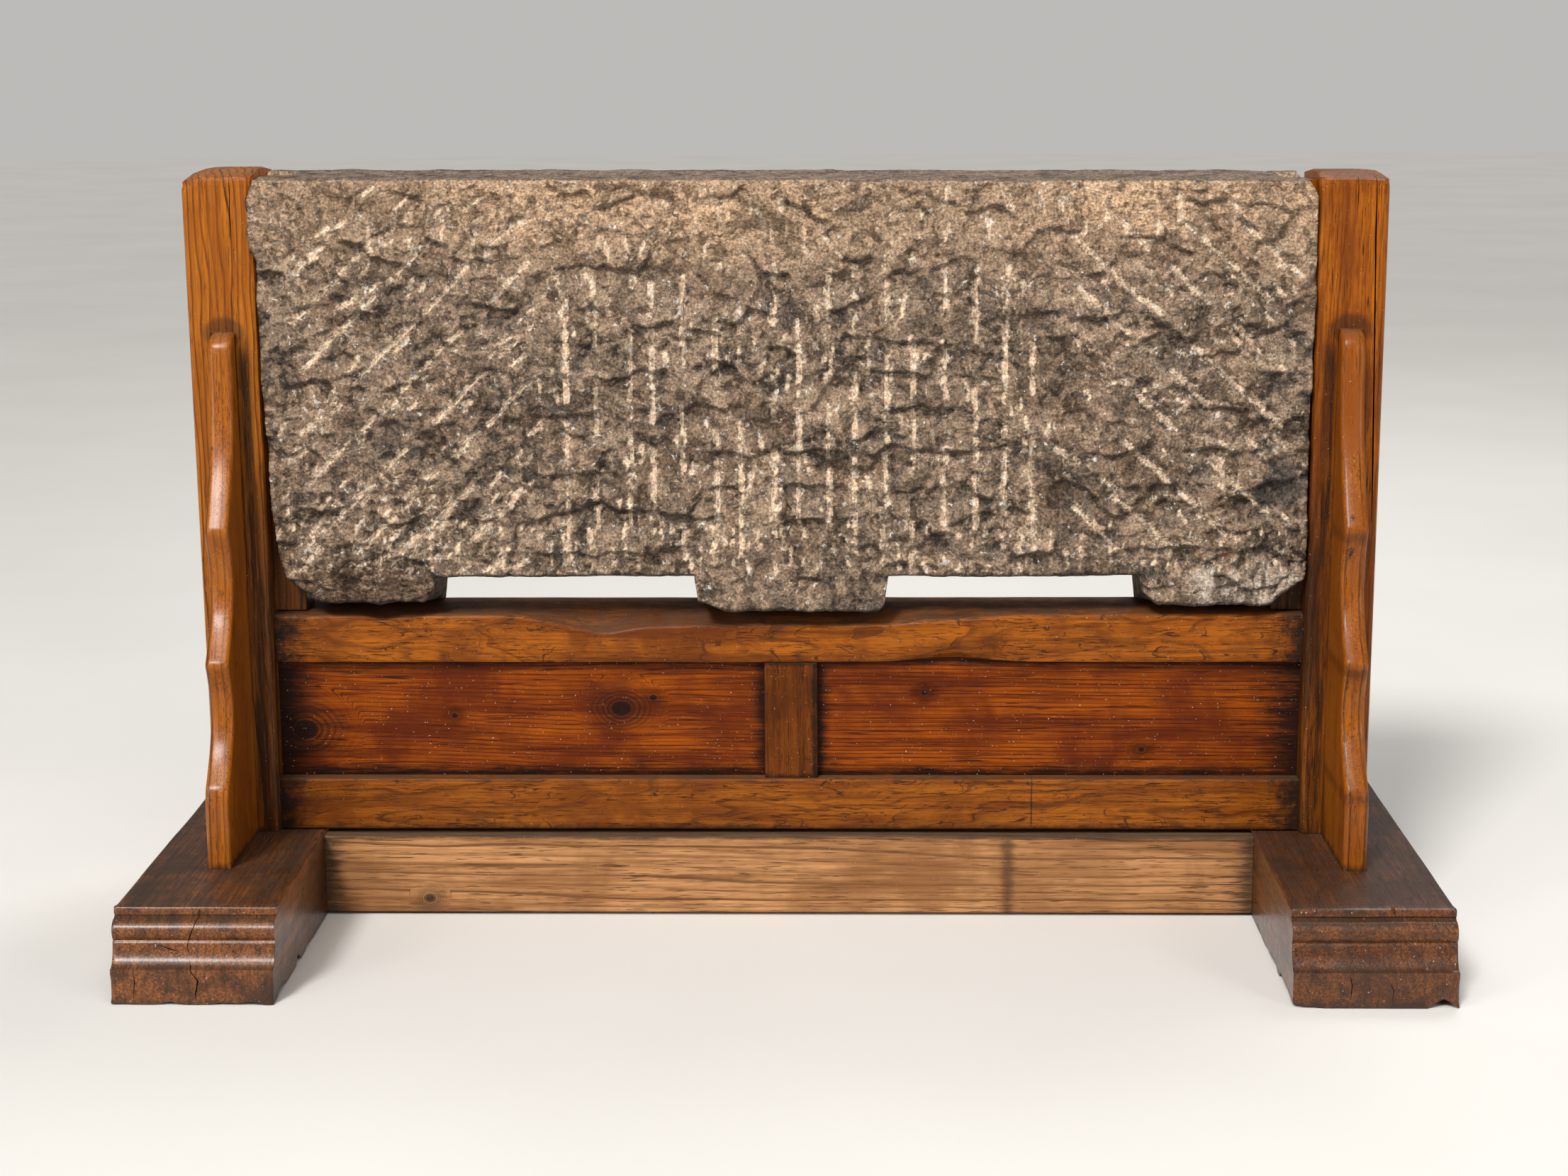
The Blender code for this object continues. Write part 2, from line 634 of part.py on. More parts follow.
def spread_lines(low, high, count):
    """Lines from low to high: one close to each end and the rest evenly between."""
    inner_low, inner_high = low + ARRIS, high - ARRIS
    inner = [inner_low + (inner_high - inner_low) * step / (count - 2) for step in range(count - 1)]
    return [low] + inner + [high]


def slab_grid(back):
    """Rows of points over the slab's front or back face."""
    top_z = SLAB_TOP_FRONT_Z + (SLAB_TOP_RISE if back else 0.0)
    rows = []
    for z in spread_lines(SLAB_BOTTOM_Z, top_z, SLAB_ROWS):
        left, right = slab_ends(z)
        row = []
        for x in spread_lines(left, right, SLAB_COLUMNS):
            distance = min(x - left, right - x, z - SLAB_BOTTOM_Z, top_z - z)
            if back:
                y = SLAB_BACK_Y - back_relief(x, z) - edge_wear(distance)
            else:
                y = SLAB_FRONT_Y + front_relief(x, z) + edge_wear(distance)
            row.append(Vector((x, y, z)))
        rows.append(row)
    return rows


def slab_bmesh():
    """The closed slab, before its feet, end grooves and furrows are cut."""
    bm = bmesh.new()
    front = [[bm.verts.new(point) for point in row] for row in slab_grid(False)]
    back = [[bm.verts.new(point) for point in row] for row in slab_grid(True)]
    for sheet, flip in ((front, False), (back, True)):
        for low_row, high_row in zip(sheet, sheet[1:]):
            for index in range(len(low_row) - 1):
                corners = [low_row[index], low_row[index + 1], high_row[index + 1], high_row[index]]
                bm.faces.new(reversed(corners) if flip else corners)
    rims = [
        (front[0], back[0]),
        (front[-1], back[-1]),
        ([row[0] for row in front], [row[0] for row in back]),
        ([row[-1] for row in front], [row[-1] for row in back]),
    ]
    for front_rim, back_rim in rims:
        for index in range(len(front_rim) - 1):
            bm.faces.new((front_rim[index], front_rim[index + 1],
                          back_rim[index + 1], back_rim[index]))
    bmesh.ops.triangulate(bm, faces=bm.faces)
    return bm


def notch_bmesh(left, right):
    """The block of air between two of the slab's feet, running right through."""
    roof_z = SLAB_BOTTOM_Z + SLAB_FOOT_HEIGHT
    floor_z = SLAB_BOTTOM_Z - SLAB_FOOT_HEIGHT
    outline = [
        (left - NOTCH_SLOPE * (roof_z - floor_z) / SLAB_FOOT_HEIGHT, floor_z),
        (right + NOTCH_SLOPE * (roof_z - floor_z) / SLAB_FOOT_HEIGHT, floor_z),
        (right, roof_z - NOTCH_CORNER),
        (right - NOTCH_CORNER, roof_z),
        (left + NOTCH_CORNER, roof_z),
        (left, roof_z - NOTCH_CORNER),
    ]
    bm = bmesh.new()
    face = bm.faces.new([bm.verts.new((x, SLAB_FRONT_Y - SLAB_THICKNESS, z)) for x, z in outline])
    for element in bmesh.ops.extrude_face_region(bm, geom=[face])["geom"]:
        if isinstance(element, bmesh.types.BMVert):
            element.co.y = SLAB_BACK_Y + SLAB_THICKNESS
    return bm


def furrow_fields():
    """The three fields of strokes: leaning left, upright in the middle, leaning right."""
    low = SLAB_BOTTOM_Z + FIELD_FOOT
    high = SLAB_TOP_FRONT_Z - FIELD_HEAD
    middle_high = SLAB_TOP_FRONT_Z - MIDDLE_FIELD_HEAD
    return (
        {"left": -SLAB_HALF_WIDTH, "right": MIDDLE_FIELD_LEFT_X - FIELD_PARTING,
         "low": low, "high": high, "lean": LEFT_FIELD_LEAN_DEGREES,
         "spacing": SIDE_FURROW_SPACING, "longest": SIDE_FURROW_LONGEST},
        {"left": MIDDLE_FIELD_LEFT_X, "right": MIDDLE_FIELD_RIGHT_X,
         "low": low, "high": middle_high, "lean": 0.0,
         "spacing": FURROW_SPACING, "longest": FURROW_LONGEST},
        {"left": MIDDLE_FIELD_RIGHT_X + FIELD_PARTING, "right": SLAB_HALF_WIDTH,
         "low": low, "high": high, "lean": RIGHT_FIELD_LEAN_DEGREES,
         "spacing": SIDE_FURROW_SPACING, "longest": SIDE_FURROW_LONGEST},
    )


def in_field(field, x, z):
    """Whether a point is inside a field and clear of the slab's ends."""
    left, right = slab_ends(z)
    clear_of_ends = left + FURROW_MARGIN < x < right - FURROW_MARGIN
    return clear_of_ends and field["left"] < x < field["right"] and field["low"] < z < field["high"]


def furrow_strokes():
    """The chisel strokes as pairs of (x, z) ends, worked along parallel ranks in each field."""
    draw = random.Random(FURROW_SEED)
    strokes = []
    for field in furrow_fields():
        lean = math.radians(field["lean"])
        middle_x = (field["left"] + field["right"]) / 2
        middle_z = (field["low"] + field["high"]) / 2
        reach = math.hypot(field["right"] - field["left"], field["high"] - field["low"]) / 2
        ranks = int(reach / field["spacing"])
        for rank in range(-ranks, ranks + 1):
            offset = (rank + draw.uniform(-FURROW_STRAY_SHARE, FURROW_STRAY_SHARE)) * field["spacing"]
            foot_x = middle_x + offset * math.cos(lean)
            foot_z = middle_z - offset * math.sin(lean)
            steps = [reach * step / FURROW_STEPS for step in range(-FURROW_STEPS, FURROW_STEPS + 1)]
            inside = [step for step in steps if in_field(
                field, foot_x + step * math.sin(lean), foot_z + step * math.cos(lean))]
            if not inside:
                continue
            place = inside[0] + draw.uniform(0.0, FURROW_MOST_PAUSE)
            while place < inside[-1]:
                stop = min(place + draw.uniform(FURROW_SHORTEST, field["longest"]), inside[-1])
                if stop - place > FURROW_SHORTEST:
                    strokes.append([(foot_x + end * math.sin(lean), foot_z + end * math.cos(lean))
                                    for end in (place, stop)])
                place = stop + draw.uniform(FURROW_LEAST_PAUSE, FURROW_MOST_PAUSE)
    return strokes


def furrow_bmesh(strokes):
    """Keeled wedges that cut the strokes, shallow at both ends and open to the front."""
    open_y = SLAB_FRONT_Y - 2 * (FLAKE_DEPTH + CHIP_DEPTH)
    bm = bmesh.new()
    for start, end in strokes:
        run = Vector((end[0] - start[0], end[1] - start[1])).normalized()
        across = Vector((run[1], -run[0])) * FURROW_WIDTH
        lids, rims, keels = [], [], []
        for (x, z), way in ((start, 1), (end, -1)):
            surface_y = SLAB_FRONT_Y + front_relief(x, z)
            for sign in (way, -way):
                side_x, side_z = x + sign * across[0], z + sign * across[1]
                lids.append(bm.verts.new((side_x, open_y, side_z)))
                rims.append(bm.verts.new((side_x, surface_y - FURROW_DEPTH, side_z)))
            keel_x, keel_z = x + way * run[0] * FURROW_WIDTH, z + way * run[1] * FURROW_WIDTH
            keels.append(bm.verts.new((keel_x, surface_y + FURROW_DEPTH, keel_z)))
        bm.faces.new(lids)
        for index in range(4):
            following = (index + 1) % 4
            bm.faces.new((lids[following], lids[index], rims[index], rims[following]))
        bm.faces.new((rims[1], rims[0], keels[0]))
        bm.faces.new((rims[3], rims[2], keels[1]))
        bm.faces.new((rims[0], rims[3], keels[1], keels[0]))
        bm.faces.new((rims[2], rims[1], keels[0], keels[1]))
    bmesh.ops.triangulate(bm, faces=bm.faces)
    return bm


def make_slab(material):
    """The slab with its three feet, end grooves and chisel furrows."""
    slab = add_object("stone_slab", slab_bmesh(), material)
    middle_left = SLAB_MIDDLE_FOOT_X - SLAB_MIDDLE_FOOT_WIDTH / 2
    middle_right = SLAB_MIDDLE_FOOT_X + SLAB_MIDDLE_FOOT_WIDTH / 2
    left_notch = notch_bmesh(-SLAB_HALF_WIDTH + SLAB_LEFT_FOOT_WIDTH, middle_left)
    right_notch = notch_bmesh(middle_right, SLAB_HALF_WIDTH - SLAB_RIGHT_FOOT_WIDTH)
    boolean(slab, add_object("stone_slab_left_notch", left_notch), 'DIFFERENCE')
    boolean(slab, add_object("stone_slab_right_notch", right_notch), 'DIFFERENCE')
    for side in (-1, 1):
        label = "groove_left" if side < 0 else "groove_right"
        low = (TONGUE_INNER_X, TONGUE_FRONT_Y, SLAB_BOTTOM_Z - SLAB_FOOT_HEIGHT)
        high = (POST_OUTER_X, TONGUE_BACK_Y, POST_TOP_Z + SLAB_FOOT_HEIGHT)
        cut_block(slab, label, *mirrored(low, high, side), play=SLAB_GROOVE_PLAY)
    furrows = add_object("stone_slab_furrows", furrow_bmesh(furrow_strokes()))
    boolean(slab, furrows, 'DIFFERENCE')
    return slab


def main():
    """Build every piece."""
    clear_scene()
    stone = make_material("stone", STONE_COLOUR, 0.9)
    honey = make_material("honey_wood", HONEY_COLOUR, 0.4)
    rail_wood = make_material("rail_wood", RAIL_COLOUR, 0.5)
    panel_wood = make_material("panel_wood", PANEL_COLOUR, 0.5)
    pale_wood = make_material("pale_wood", STRETCHER_COLOUR, 0.65)
    dark_wood = make_material("dark_wood", FOOT_COLOUR, 0.5)

    for side, word in ((-1, "left"), (1, "right")):
        make_foot("foot_" + word, side, dark_wood)
        make_post("post_" + word, side, honey)
        make_bracket("bracket_front_" + word, side, -1, honey)
        make_bracket("bracket_back_" + word, side, 1, honey)
        make_panel("panel_" + word, side, panel_wood)
    make_upper_rail(rail_wood)
    make_lower_rail(rail_wood)
    make_muntin(rail_wood)
    make_stretcher(pale_wood)
    make_slab(stone)


main()
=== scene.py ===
"""Looks of a rough-chiselled stone slab standing in a wooden screen stand."""
import math
import random

import bmesh
import bpy
import numpy as np
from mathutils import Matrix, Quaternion, Vector, geometry, noise


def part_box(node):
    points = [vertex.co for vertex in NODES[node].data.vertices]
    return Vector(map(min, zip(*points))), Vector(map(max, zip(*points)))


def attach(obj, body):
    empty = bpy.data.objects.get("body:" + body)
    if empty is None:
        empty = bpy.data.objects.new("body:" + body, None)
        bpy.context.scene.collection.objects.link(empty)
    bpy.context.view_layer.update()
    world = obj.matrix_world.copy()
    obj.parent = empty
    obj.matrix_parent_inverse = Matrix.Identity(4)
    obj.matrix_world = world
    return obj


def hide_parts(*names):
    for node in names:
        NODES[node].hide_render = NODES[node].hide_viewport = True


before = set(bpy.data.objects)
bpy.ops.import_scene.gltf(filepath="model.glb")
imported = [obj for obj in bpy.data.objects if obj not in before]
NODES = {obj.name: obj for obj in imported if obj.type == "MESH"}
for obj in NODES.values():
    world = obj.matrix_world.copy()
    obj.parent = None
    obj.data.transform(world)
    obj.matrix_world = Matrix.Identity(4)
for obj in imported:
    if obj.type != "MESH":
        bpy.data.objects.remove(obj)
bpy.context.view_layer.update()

# Camera, as the photograph was taken
CAMERA_PLACE = (0.07685, -3.1125, 1.02659)
CAMERA_YAW = math.radians(1.48)
CAMERA_TILT = math.radians(-11.69)
CAMERA_ROLL = math.radians(-0.35)
CAMERA_LENS_MM = 61.73
CAMERA_SENSOR_MM = 36.0

# Slab: places from the frame, and the sizes that its form repeats
SLAB_LOW, SLAB_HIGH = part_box("stone_slab")
POST_LOW, POST_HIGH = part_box("post_left")
SLAB_TOP_RISE = 0.0065
SLAB_PROUD = 0.006
SLAB_THICKNESS = 0.122
SLAB_FRONT_Y = POST_LOW.y - SLAB_PROUD
SLAB_BACK_Y = SLAB_FRONT_Y + SLAB_THICKNESS
SLAB_BOTTOM_Z = SLAB_LOW.z
SLAB_TOP_Z = SLAB_HIGH.z - SLAB_TOP_RISE
SLAB_LEFT_X = SLAB_LOW.x
SLAB_RIGHT_X = SLAB_HIGH.x
FOOT_HEIGHT = 0.0465
ROOF_Z = SLAB_BOTTOM_Z + FOOT_HEIGHT
NOTCH_SLOPE = 0.005
LEFT_NOTCH_X = (SLAB_LEFT_X + 0.1945, -0.1060)
RIGHT_NOTCH_X = (0.1190, SLAB_RIGHT_X - 0.1925)
TONGUE_REACH = 0.036
TONGUE_SETBACK = 0.033
TONGUE_THICK = 0.048
GROOVE_PLAY = 0.002
LEFT_END_INSETS = (
    (0.000, 0.052), (0.016, 0.044), (0.030, 0.027), (0.047, 0.017), (0.068, 0.012), (0.150, 0.006),
    (0.290, 0.002), (0.370, 0.000), (0.414, 0.002), (0.440, 0.000), (0.482, 0.001), (0.500, 0.010),
)
RIGHT_END_INSETS = (
    (0.000, 0.040), (0.012, 0.031), (0.040, 0.002), (0.060, 0.001), (0.180, 0.003), (0.330, 0.001),
    (0.435, 0.000), (0.484, 0.001), (0.500, 0.011),
)
LEFT_FACE_BULGE = ((0.408, 0.0), (0.424, 0.0075), (0.470, 0.0080), (0.486, 0.0100), (0.500, 0.0095))
FLAKE_LENGTH = 0.110
FLAKE_DEPTH = 0.006
CHIP_LENGTH = 0.042
CHIP_DEPTH = 0.003
BACK_RELIEF = 0.004

# Slab: fineness of the visible mesh
GRID_STEP = 0.0029
WALL_RINGS = (0.03, 0.09, 0.22, 0.42, 0.65, 0.88, 1.0)
BACK_STEP = 0.0110

# Chisel strokes, laid out as on the solid
FURROW_SHORTEST = 0.045
FURROW_LONGEST = 0.190
SIDE_FURROW_LONGEST = 0.150
FURROW_LEAST_PAUSE = 0.020
FURROW_MOST_PAUSE = 0.060
FURROW_SPACING = 0.033
SIDE_FURROW_SPACING = 0.046
FURROW_MARGIN = 0.012
FIELD_FOOT = 0.056
FIELD_HEAD = 0.040
MIDDLE_FIELD_HEAD = 0.090
FIELD_PARTING = 0.014
MIDDLE_FIELD_LEFT_X = -0.275
MIDDLE_FIELD_RIGHT_X = 0.310
LEFT_FIELD_LEAN_DEGREES = 46.0
RIGHT_FIELD_LEAN_DEGREES = -48.0
FURROW_STRAY_SHARE = 0.12
FURROW_STEPS = 40
FURROW_SEED = 11
FURROW_HALF_WIDTH = 0.0033
FURROW_DEPTH = 0.0040
PECK_HALF_WIDTH = 0.0029
PECK_DEPTH = 0.0018
PECK_SEED = 5

# Stand: sizes that the worn pieces repeat
POST_INNER_X = abs(POST_HIGH.x) + TONGUE_REACH
BRACKET_FOOT_REACH = 0.146
BRACKET_SHOULDER_REACH = 0.027
BRACKET_SHOULDER_DROP = 0.022
BRACKET_SCALLOPS = ((0.477, 0.086, 0.017), (0.330, 0.115, 0.0285), (0.193, 0.141, 0.027))
BRACKET_ROUND = 0.0055
FOOT_FILLET_HEIGHT = 0.0105
FOOT_BEAD_HEIGHT = 0.0255
FOOT_BEAD_OUT = 0.014
FOOT_COVE_HEIGHT = 0.026
FOOT_COVE_OUT = 0.014
FOOT_QUIRK = 0.002
FOOT_BASE_LEAN = 0.003
FOOT_ROUND = 0.004
CAP_MARGIN = 0.0004
BRACKET_STATION_STEP = 0.007
FOOT_STATION_STEP = 0.006
RAIL_STATIONS = 330
RAIL_END_GAP = 0.0003
RAIL_ROUND = 0.0055
RAIL_DISH_DEPTH = 0.0125

# How dark a growth ring is at each share of its width
LATE_WOOD = ((0.0, 0.0), (0.50, 0.05), (0.72, 0.35), (0.84, 1.0), (0.95, 0.85), (1.0, 0.0))

# Marks on the slab's face: middle (x, z), reach and strength
FACE_MARKS = {
    "brown_foot": ((-0.500, 0.378), (0.110, 0.052), 0.95),
    "dark_patch": ((0.572, 0.514), (0.030, 0.034), 0.85),
    "lime_foot": ((0.530, 0.398), (0.070, 0.036), 0.85),
    "red_trace": ((0.505, 0.436), (0.006, 0.004), 0.6),
}

# Post heads: lowering, rounding of the outer edge and spread; and the cuts that let them bend
POST_HEAD_WEAR = {
    "left": (-0.0052, 0.0085, 0.0025),
    "right": (0.0032, 0.0030, 0.0),
}
POST_HEAD_HEIGHT = 0.030
POST_HEAD_CUTS = 8
POST_HEAD_CUT_STEP = 0.0091
POST_HEAD_SHOULDER_X = 0.645
POST_HEAD_SHOULDER_WIDTH = 0.0345

# Cracks: width, front y, deep y and points (x, z)
POST_CRACKS = {
    "left": [
        (0.0016, -0.070, -0.048, [(-0.627, 0.875), (-0.6262, 0.850), (-0.6275, 0.826),
                                  (-0.6268, 0.800)]),
        (0.0012, -0.070, -0.052, [(-0.655, 0.70), (-0.6556, 0.66), (-0.6545, 0.61)]),
    ],
    "right": [
        (0.0022, -0.070, -0.040, [(0.664, 0.875), (0.6648, 0.80), (0.6672, 0.72), (0.6692, 0.63),
                                  (0.6715, 0.53), (0.6722, 0.47)]),
        (0.0014, -0.070, -0.050, [(0.6435, 0.875), (0.6440, 0.845), (0.6432, 0.812)]),
    ],
}
FOOT_CRACKS = {
    "left": [
        (0.0016, -0.385, -0.325, [(-0.6300, 0.106), (-0.6325, 0.090), (-0.6370, 0.079), (-0.6425, 0.066),
                                  (-0.6440, 0.058), (-0.6405, 0.051)]),
        (0.0018, -0.385, -0.335, [(-0.6405, 0.045), (-0.6375, 0.036), (-0.6300, 0.026), (-0.6330, 0.012),
                                  (-0.6320, 0.004)]),
        (0.0014, -0.385, -0.345, [(-0.7000, 0.039), (-0.6990, 0.024), (-0.7005, 0.006)]),
        (0.0034, -0.385, -0.345, [(-0.6740, 0.0610), (-0.6640, 0.0570), (-0.6530, 0.0545)]),
    ],
    "right": [
        (0.0130, -0.385, -0.336, [(0.6560, 0.108), (0.6575, 0.100), (0.6600, 0.094)]),
        (0.0016, -0.385, -0.345, [(0.6080, 0.038), (0.6110, 0.024), (0.6095, 0.008)]),
        (0.0012, -0.385, -0.345, [(0.6500, 0.030), (0.6550, 0.020), (0.6540, 0.006)]),
    ],
}


# Repeatable noise on arrays of places

def lattice(i, j, k, seed):
    """A repeatable value from 0 to 1 for each whole-numbered place."""
    i, j, k = (np.asarray(value).astype(np.int64) for value in (i, j, k))
    mixed = (i * 73856093) ^ (j * 19349663) ^ (k * 83492791) ^ (seed * 40503)
    mixed = ((mixed ^ (mixed >> 13)) * 1274126177) & 0xFFFFFFFF
    mixed = ((mixed ^ (mixed >> 15)) * 668265263) & 0xFFFFFFFF
    return (mixed ^ (mixed >> 16)) / 0xFFFFFFFF


def value_noise(x, y, z=0.0, seed=0):
    """Smooth noise from -1 to 1."""
    x, y, z = np.broadcast_arrays(*(np.asarray(value, dtype=float) for value in (x, y, z)))
    i, j, k = np.floor(x), np.floor(y), np.floor(z)
    u, v, w = (part * part * (3 - 2 * part) for part in (x - i, y - j, z - k))
    total = np.zeros_like(x)
    for di in (0, 1):
        for dj in (0, 1):
            for dk in (0, 1):
                weight = (u if di else 1 - u) * (v if dj else 1 - v) * (w if dk else 1 - w)
                total = total + weight * lattice(i + di, j + dj, k + dk, seed)
    return 2 * total - 1


def layered_noise(x, y, z=0.0, seed=0, layers=4):
    """Noise with finer and fainter layers on top, from about -1 to 1."""
    total, strength = 0.0, 1.0
    for layer in range(layers):
        scale = 2.03 ** layer
        total = total + strength * value_noise(x * scale, y * scale, z * scale, seed + layer)
        strength /= 2
    return total / 1.6


def smooth_step(low, high, value):
    """0 below low, 1 above high and smooth between."""
    share = np.clip((value - low) / (high - low), 0.0, 1.0)
    return share * share * (3 - 2 * share)


def flakes(u, v, lean, dish, edge, seed):
    """Broken stone, from about -1 to 1: tilted, dished flakes with steep ledges between them."""
    cell_u, cell_v = np.floor(u), np.floor(v)
    near = np.full(u.shape, 9.0)
    next_near = np.full(u.shape, 9.0)
    near_height = np.zeros(u.shape)
    next_height = np.zeros(u.shape)
    for step_u in (-1, 0, 1):
        for step_v in (-1, 0, 1):
            i, j = cell_u + step_u, cell_v + step_v
            du = u - i - 0.15 - 0.7 * lattice(i, j, 1, seed)
            dv = v - j - 0.15 - 0.7 * lattice(i, j, 2, seed)
            distance = du * du + dv * dv
            tilt_u = 2.4 * (lattice(i, j, 3, seed) - 0.5)
            tilt_v = -lean + 2.4 * (lattice(i, j, 4, seed) - 0.5)
            height = lattice(i, j, 5, seed) - 0.5 + tilt_u * du + tilt_v * dv + dish * distance
            closest = distance < near
            second = ~closest & (distance < next_near)
            next_height = np.where(closest, near_height, np.where(second, height, next_height))
            next_near = np.where(closest, near, np.where(second, distance, next_near))
            near_height = np.where(closest, height, near_height)
            near = np.where(closest, distance, near)
    share = 0.5 + 0.5 * smooth_step(0.0, edge, np.sqrt(next_near) - np.sqrt(near))
    return share * near_height + (1 - share) * next_height


# Slab form

def end_inset(table, over_rail):
    """Inset of an end at a height over the rail, straight between the table's rows."""
    heights, insets = zip(*table)
    return np.interp(over_rail, heights, insets)


def slab_ends(z):
    """The slab's left and right ends at a height."""
    over_rail = z - SLAB_BOTTOM_Z
    left = SLAB_LEFT_X + end_inset(LEFT_END_INSETS, over_rail)
    right = SLAB_RIGHT_X - end_inset(RIGHT_END_INSETS, over_rail)
    return left, right


def face_ends(z):
    """The ends of the front face, which stands a little over the left post near its top."""
    left, right = slab_ends(z)
    return left - end_inset(LEFT_FACE_BULGE, z - SLAB_BOTTOM_Z), right


def group_edges(z):
    """Where the slab's ends and the notches' sides lie at a height, from left to right."""
    left, right = face_ends(z)
    left = left + 0.0012 * (1 + layered_noise(z * 45, 3.1, seed=31))
    right = right - 0.0012 * (1 + layered_noise(z * 45, 7.7, seed=32))
    spread = NOTCH_SLOPE * max(0.0, ROOF_Z - z) / FOOT_HEIGHT
    return [left, LEFT_NOTCH_X[0] - spread, LEFT_NOTCH_X[1] + spread,
            RIGHT_NOTCH_X[0] - spread, RIGHT_NOTCH_X[1] + spread, right]


def top_line(x):
    """Height of the slab's upper front edge, chipped along its length and at both corners."""
    from_end = np.minimum(x - SLAB_LEFT_X, SLAB_RIGHT_X - x)
    chips = 0.0010 * (1 + layered_noise(x * 38, 1.7, seed=33))
    level = SLAB_TOP_Z + 0.0022 - 0.0055 * x
    return level - chips - 0.007 * (1 - smooth_step(-0.010, 0.005, from_end))


def outline_distance(x, z):
    """Distance of a place on the face from the slab's outline."""
    left, right = face_ends(z)
    distance = np.minimum.reduce([x - left, right - x, top_line(x) - z, z - SLAB_BOTTOM_Z])
    for low_x, high_x in (LEFT_NOTCH_X, RIGHT_NOTCH_X):
        beside = np.maximum(0.0, np.maximum(low_x - x, x - high_x))
        above = np.maximum(0.0, z - ROOF_Z)
        distance = np.minimum(distance, np.hypot(beside, above))
    return np.maximum(distance, 0.0)


def in_field(field, x, z):
    """Whether a point is inside a field and clear of the slab's ends."""
    left, right = slab_ends(z)
    clear_of_ends = left + FURROW_MARGIN < x < right - FURROW_MARGIN
    return clear_of_ends and field["left"] < x < field["right"] and field["low"] < z < field["high"]


def furrow_fields():
    """The three fields of strokes: leaning left, upright in the middle, leaning right."""
    low = SLAB_BOTTOM_Z + FIELD_FOOT
    high = SLAB_TOP_Z - FIELD_HEAD
    middle_high = SLAB_TOP_Z - MIDDLE_FIELD_HEAD
    return (
        {"left": SLAB_LEFT_X, "right": MIDDLE_FIELD_LEFT_X - FIELD_PARTING,
         "low": low, "high": high, "lean": LEFT_FIELD_LEAN_DEGREES,
         "spacing": SIDE_FURROW_SPACING, "longest": SIDE_FURROW_LONGEST},
        {"left": MIDDLE_FIELD_LEFT_X, "right": MIDDLE_FIELD_RIGHT_X,
         "low": low, "high": middle_high, "lean": 0.0,
         "spacing": FURROW_SPACING, "longest": FURROW_LONGEST},
        {"left": MIDDLE_FIELD_RIGHT_X + FIELD_PARTING, "right": SLAB_RIGHT_X,
         "low": low, "high": high, "lean": RIGHT_FIELD_LEAN_DEGREES,
         "spacing": SIDE_FURROW_SPACING, "longest": SIDE_FURROW_LONGEST},
    )


def furrow_strokes():
    """The chisel strokes as pairs of (x, z) ends, worked along parallel ranks in each field."""
    draw = random.Random(FURROW_SEED)
    strokes = []
    for field in furrow_fields():
        lean = math.radians(field["lean"])
        middle_x = (field["left"] + field["right"]) / 2
        middle_z = (field["low"] + field["high"]) / 2
        reach = math.hypot(field["right"] - field["left"], field["high"] - field["low"]) / 2
        ranks = int(reach / field["spacing"])
        for rank in range(-ranks, ranks + 1):
            offset = (rank + draw.uniform(-FURROW_STRAY_SHARE, FURROW_STRAY_SHARE)) * field["spacing"]
            foot_x = middle_x + offset * math.cos(lean)
            foot_z = middle_z - offset * math.sin(lean)
            steps = [reach * step / FURROW_STEPS for step in range(-FURROW_STEPS, FURROW_STEPS + 1)]
            inside = [step for step in steps if in_field(
                field, foot_x + step * math.sin(lean), foot_z + step * math.cos(lean))]
            if not inside:
                continue
            place = inside[0] + draw.uniform(0.0, FURROW_MOST_PAUSE)
            while place < inside[-1]:
                stop = min(place + draw.uniform(FURROW_SHORTEST, field["longest"]), inside[-1])
                if stop - place > FURROW_SHORTEST:
                    strokes.append([(foot_x + end * math.sin(lean), foot_z + end * math.cos(lean))
                                    for end in (place, stop)])
                place = stop + draw.uniform(FURROW_LEAST_PAUSE, FURROW_MOST_PAUSE)
    return strokes


def peck_strokes():
    """Short pecked marks: in columns along the lower edge, and scattered elsewhere."""
    draw = random.Random(PECK_SEED)
    pecks = []
    for column in range(66):
        x = SLAB_LEFT_X + 0.030 + column * 0.0175 + draw.uniform(-0.004, 0.004)
        for row in range(3):
            z = ROOF_Z + 0.012 + row * 0.019 + draw.uniform(-0.005, 0.005)
            if draw.random() < 0.72:
                length = draw.uniform(0.004, 0.011)
                pecks.append(((x, z), (x + draw.uniform(-0.002, 0.002), z + length)))
    for column in range(44):
        x = SLAB_LEFT_X + 0.13 + column * 0.0225 + draw.uniform(-0.008, 0.008)
        z = SLAB_TOP_Z - draw.uniform(0.028, 0.095)
        if draw.random() < 0.75:
            lean = draw.uniform(-0.35, 0.25)
            length = draw.uniform(0.010, 0.030)
            pecks.append(((x, z), (x + lean * length, z + length)))
    for _ in range(90):
        x = draw.uniform(SLAB_LEFT_X + 0.01, SLAB_LEFT_X + 0.30)
        z = draw.uniform(ROOF_Z, ROOF_Z + 0.10)
        turn = math.radians(draw.uniform(10, 60))
        length = draw.uniform(0.004, 0.013)
        pecks.append(((x, z), (x + length * math.sin(turn), z + length * math.cos(turn))))
    for _ in range(230):
        x = draw.uniform(SLAB_LEFT_X + 0.02, SLAB_RIGHT_X - 0.02)
        z = draw.uniform(SLAB_BOTTOM_Z + 0.05, SLAB_TOP_Z - 0.01)
        turn = math.radians(draw.uniform(-15, 15) + (45 if x < -0.28 else -47 if x > 0.32 else 0))
        length = draw.uniform(0.006, 0.024)
        pecks.append(((x, z), (x + length * math.sin(turn), z + length * math.cos(turn))))
    return pecks


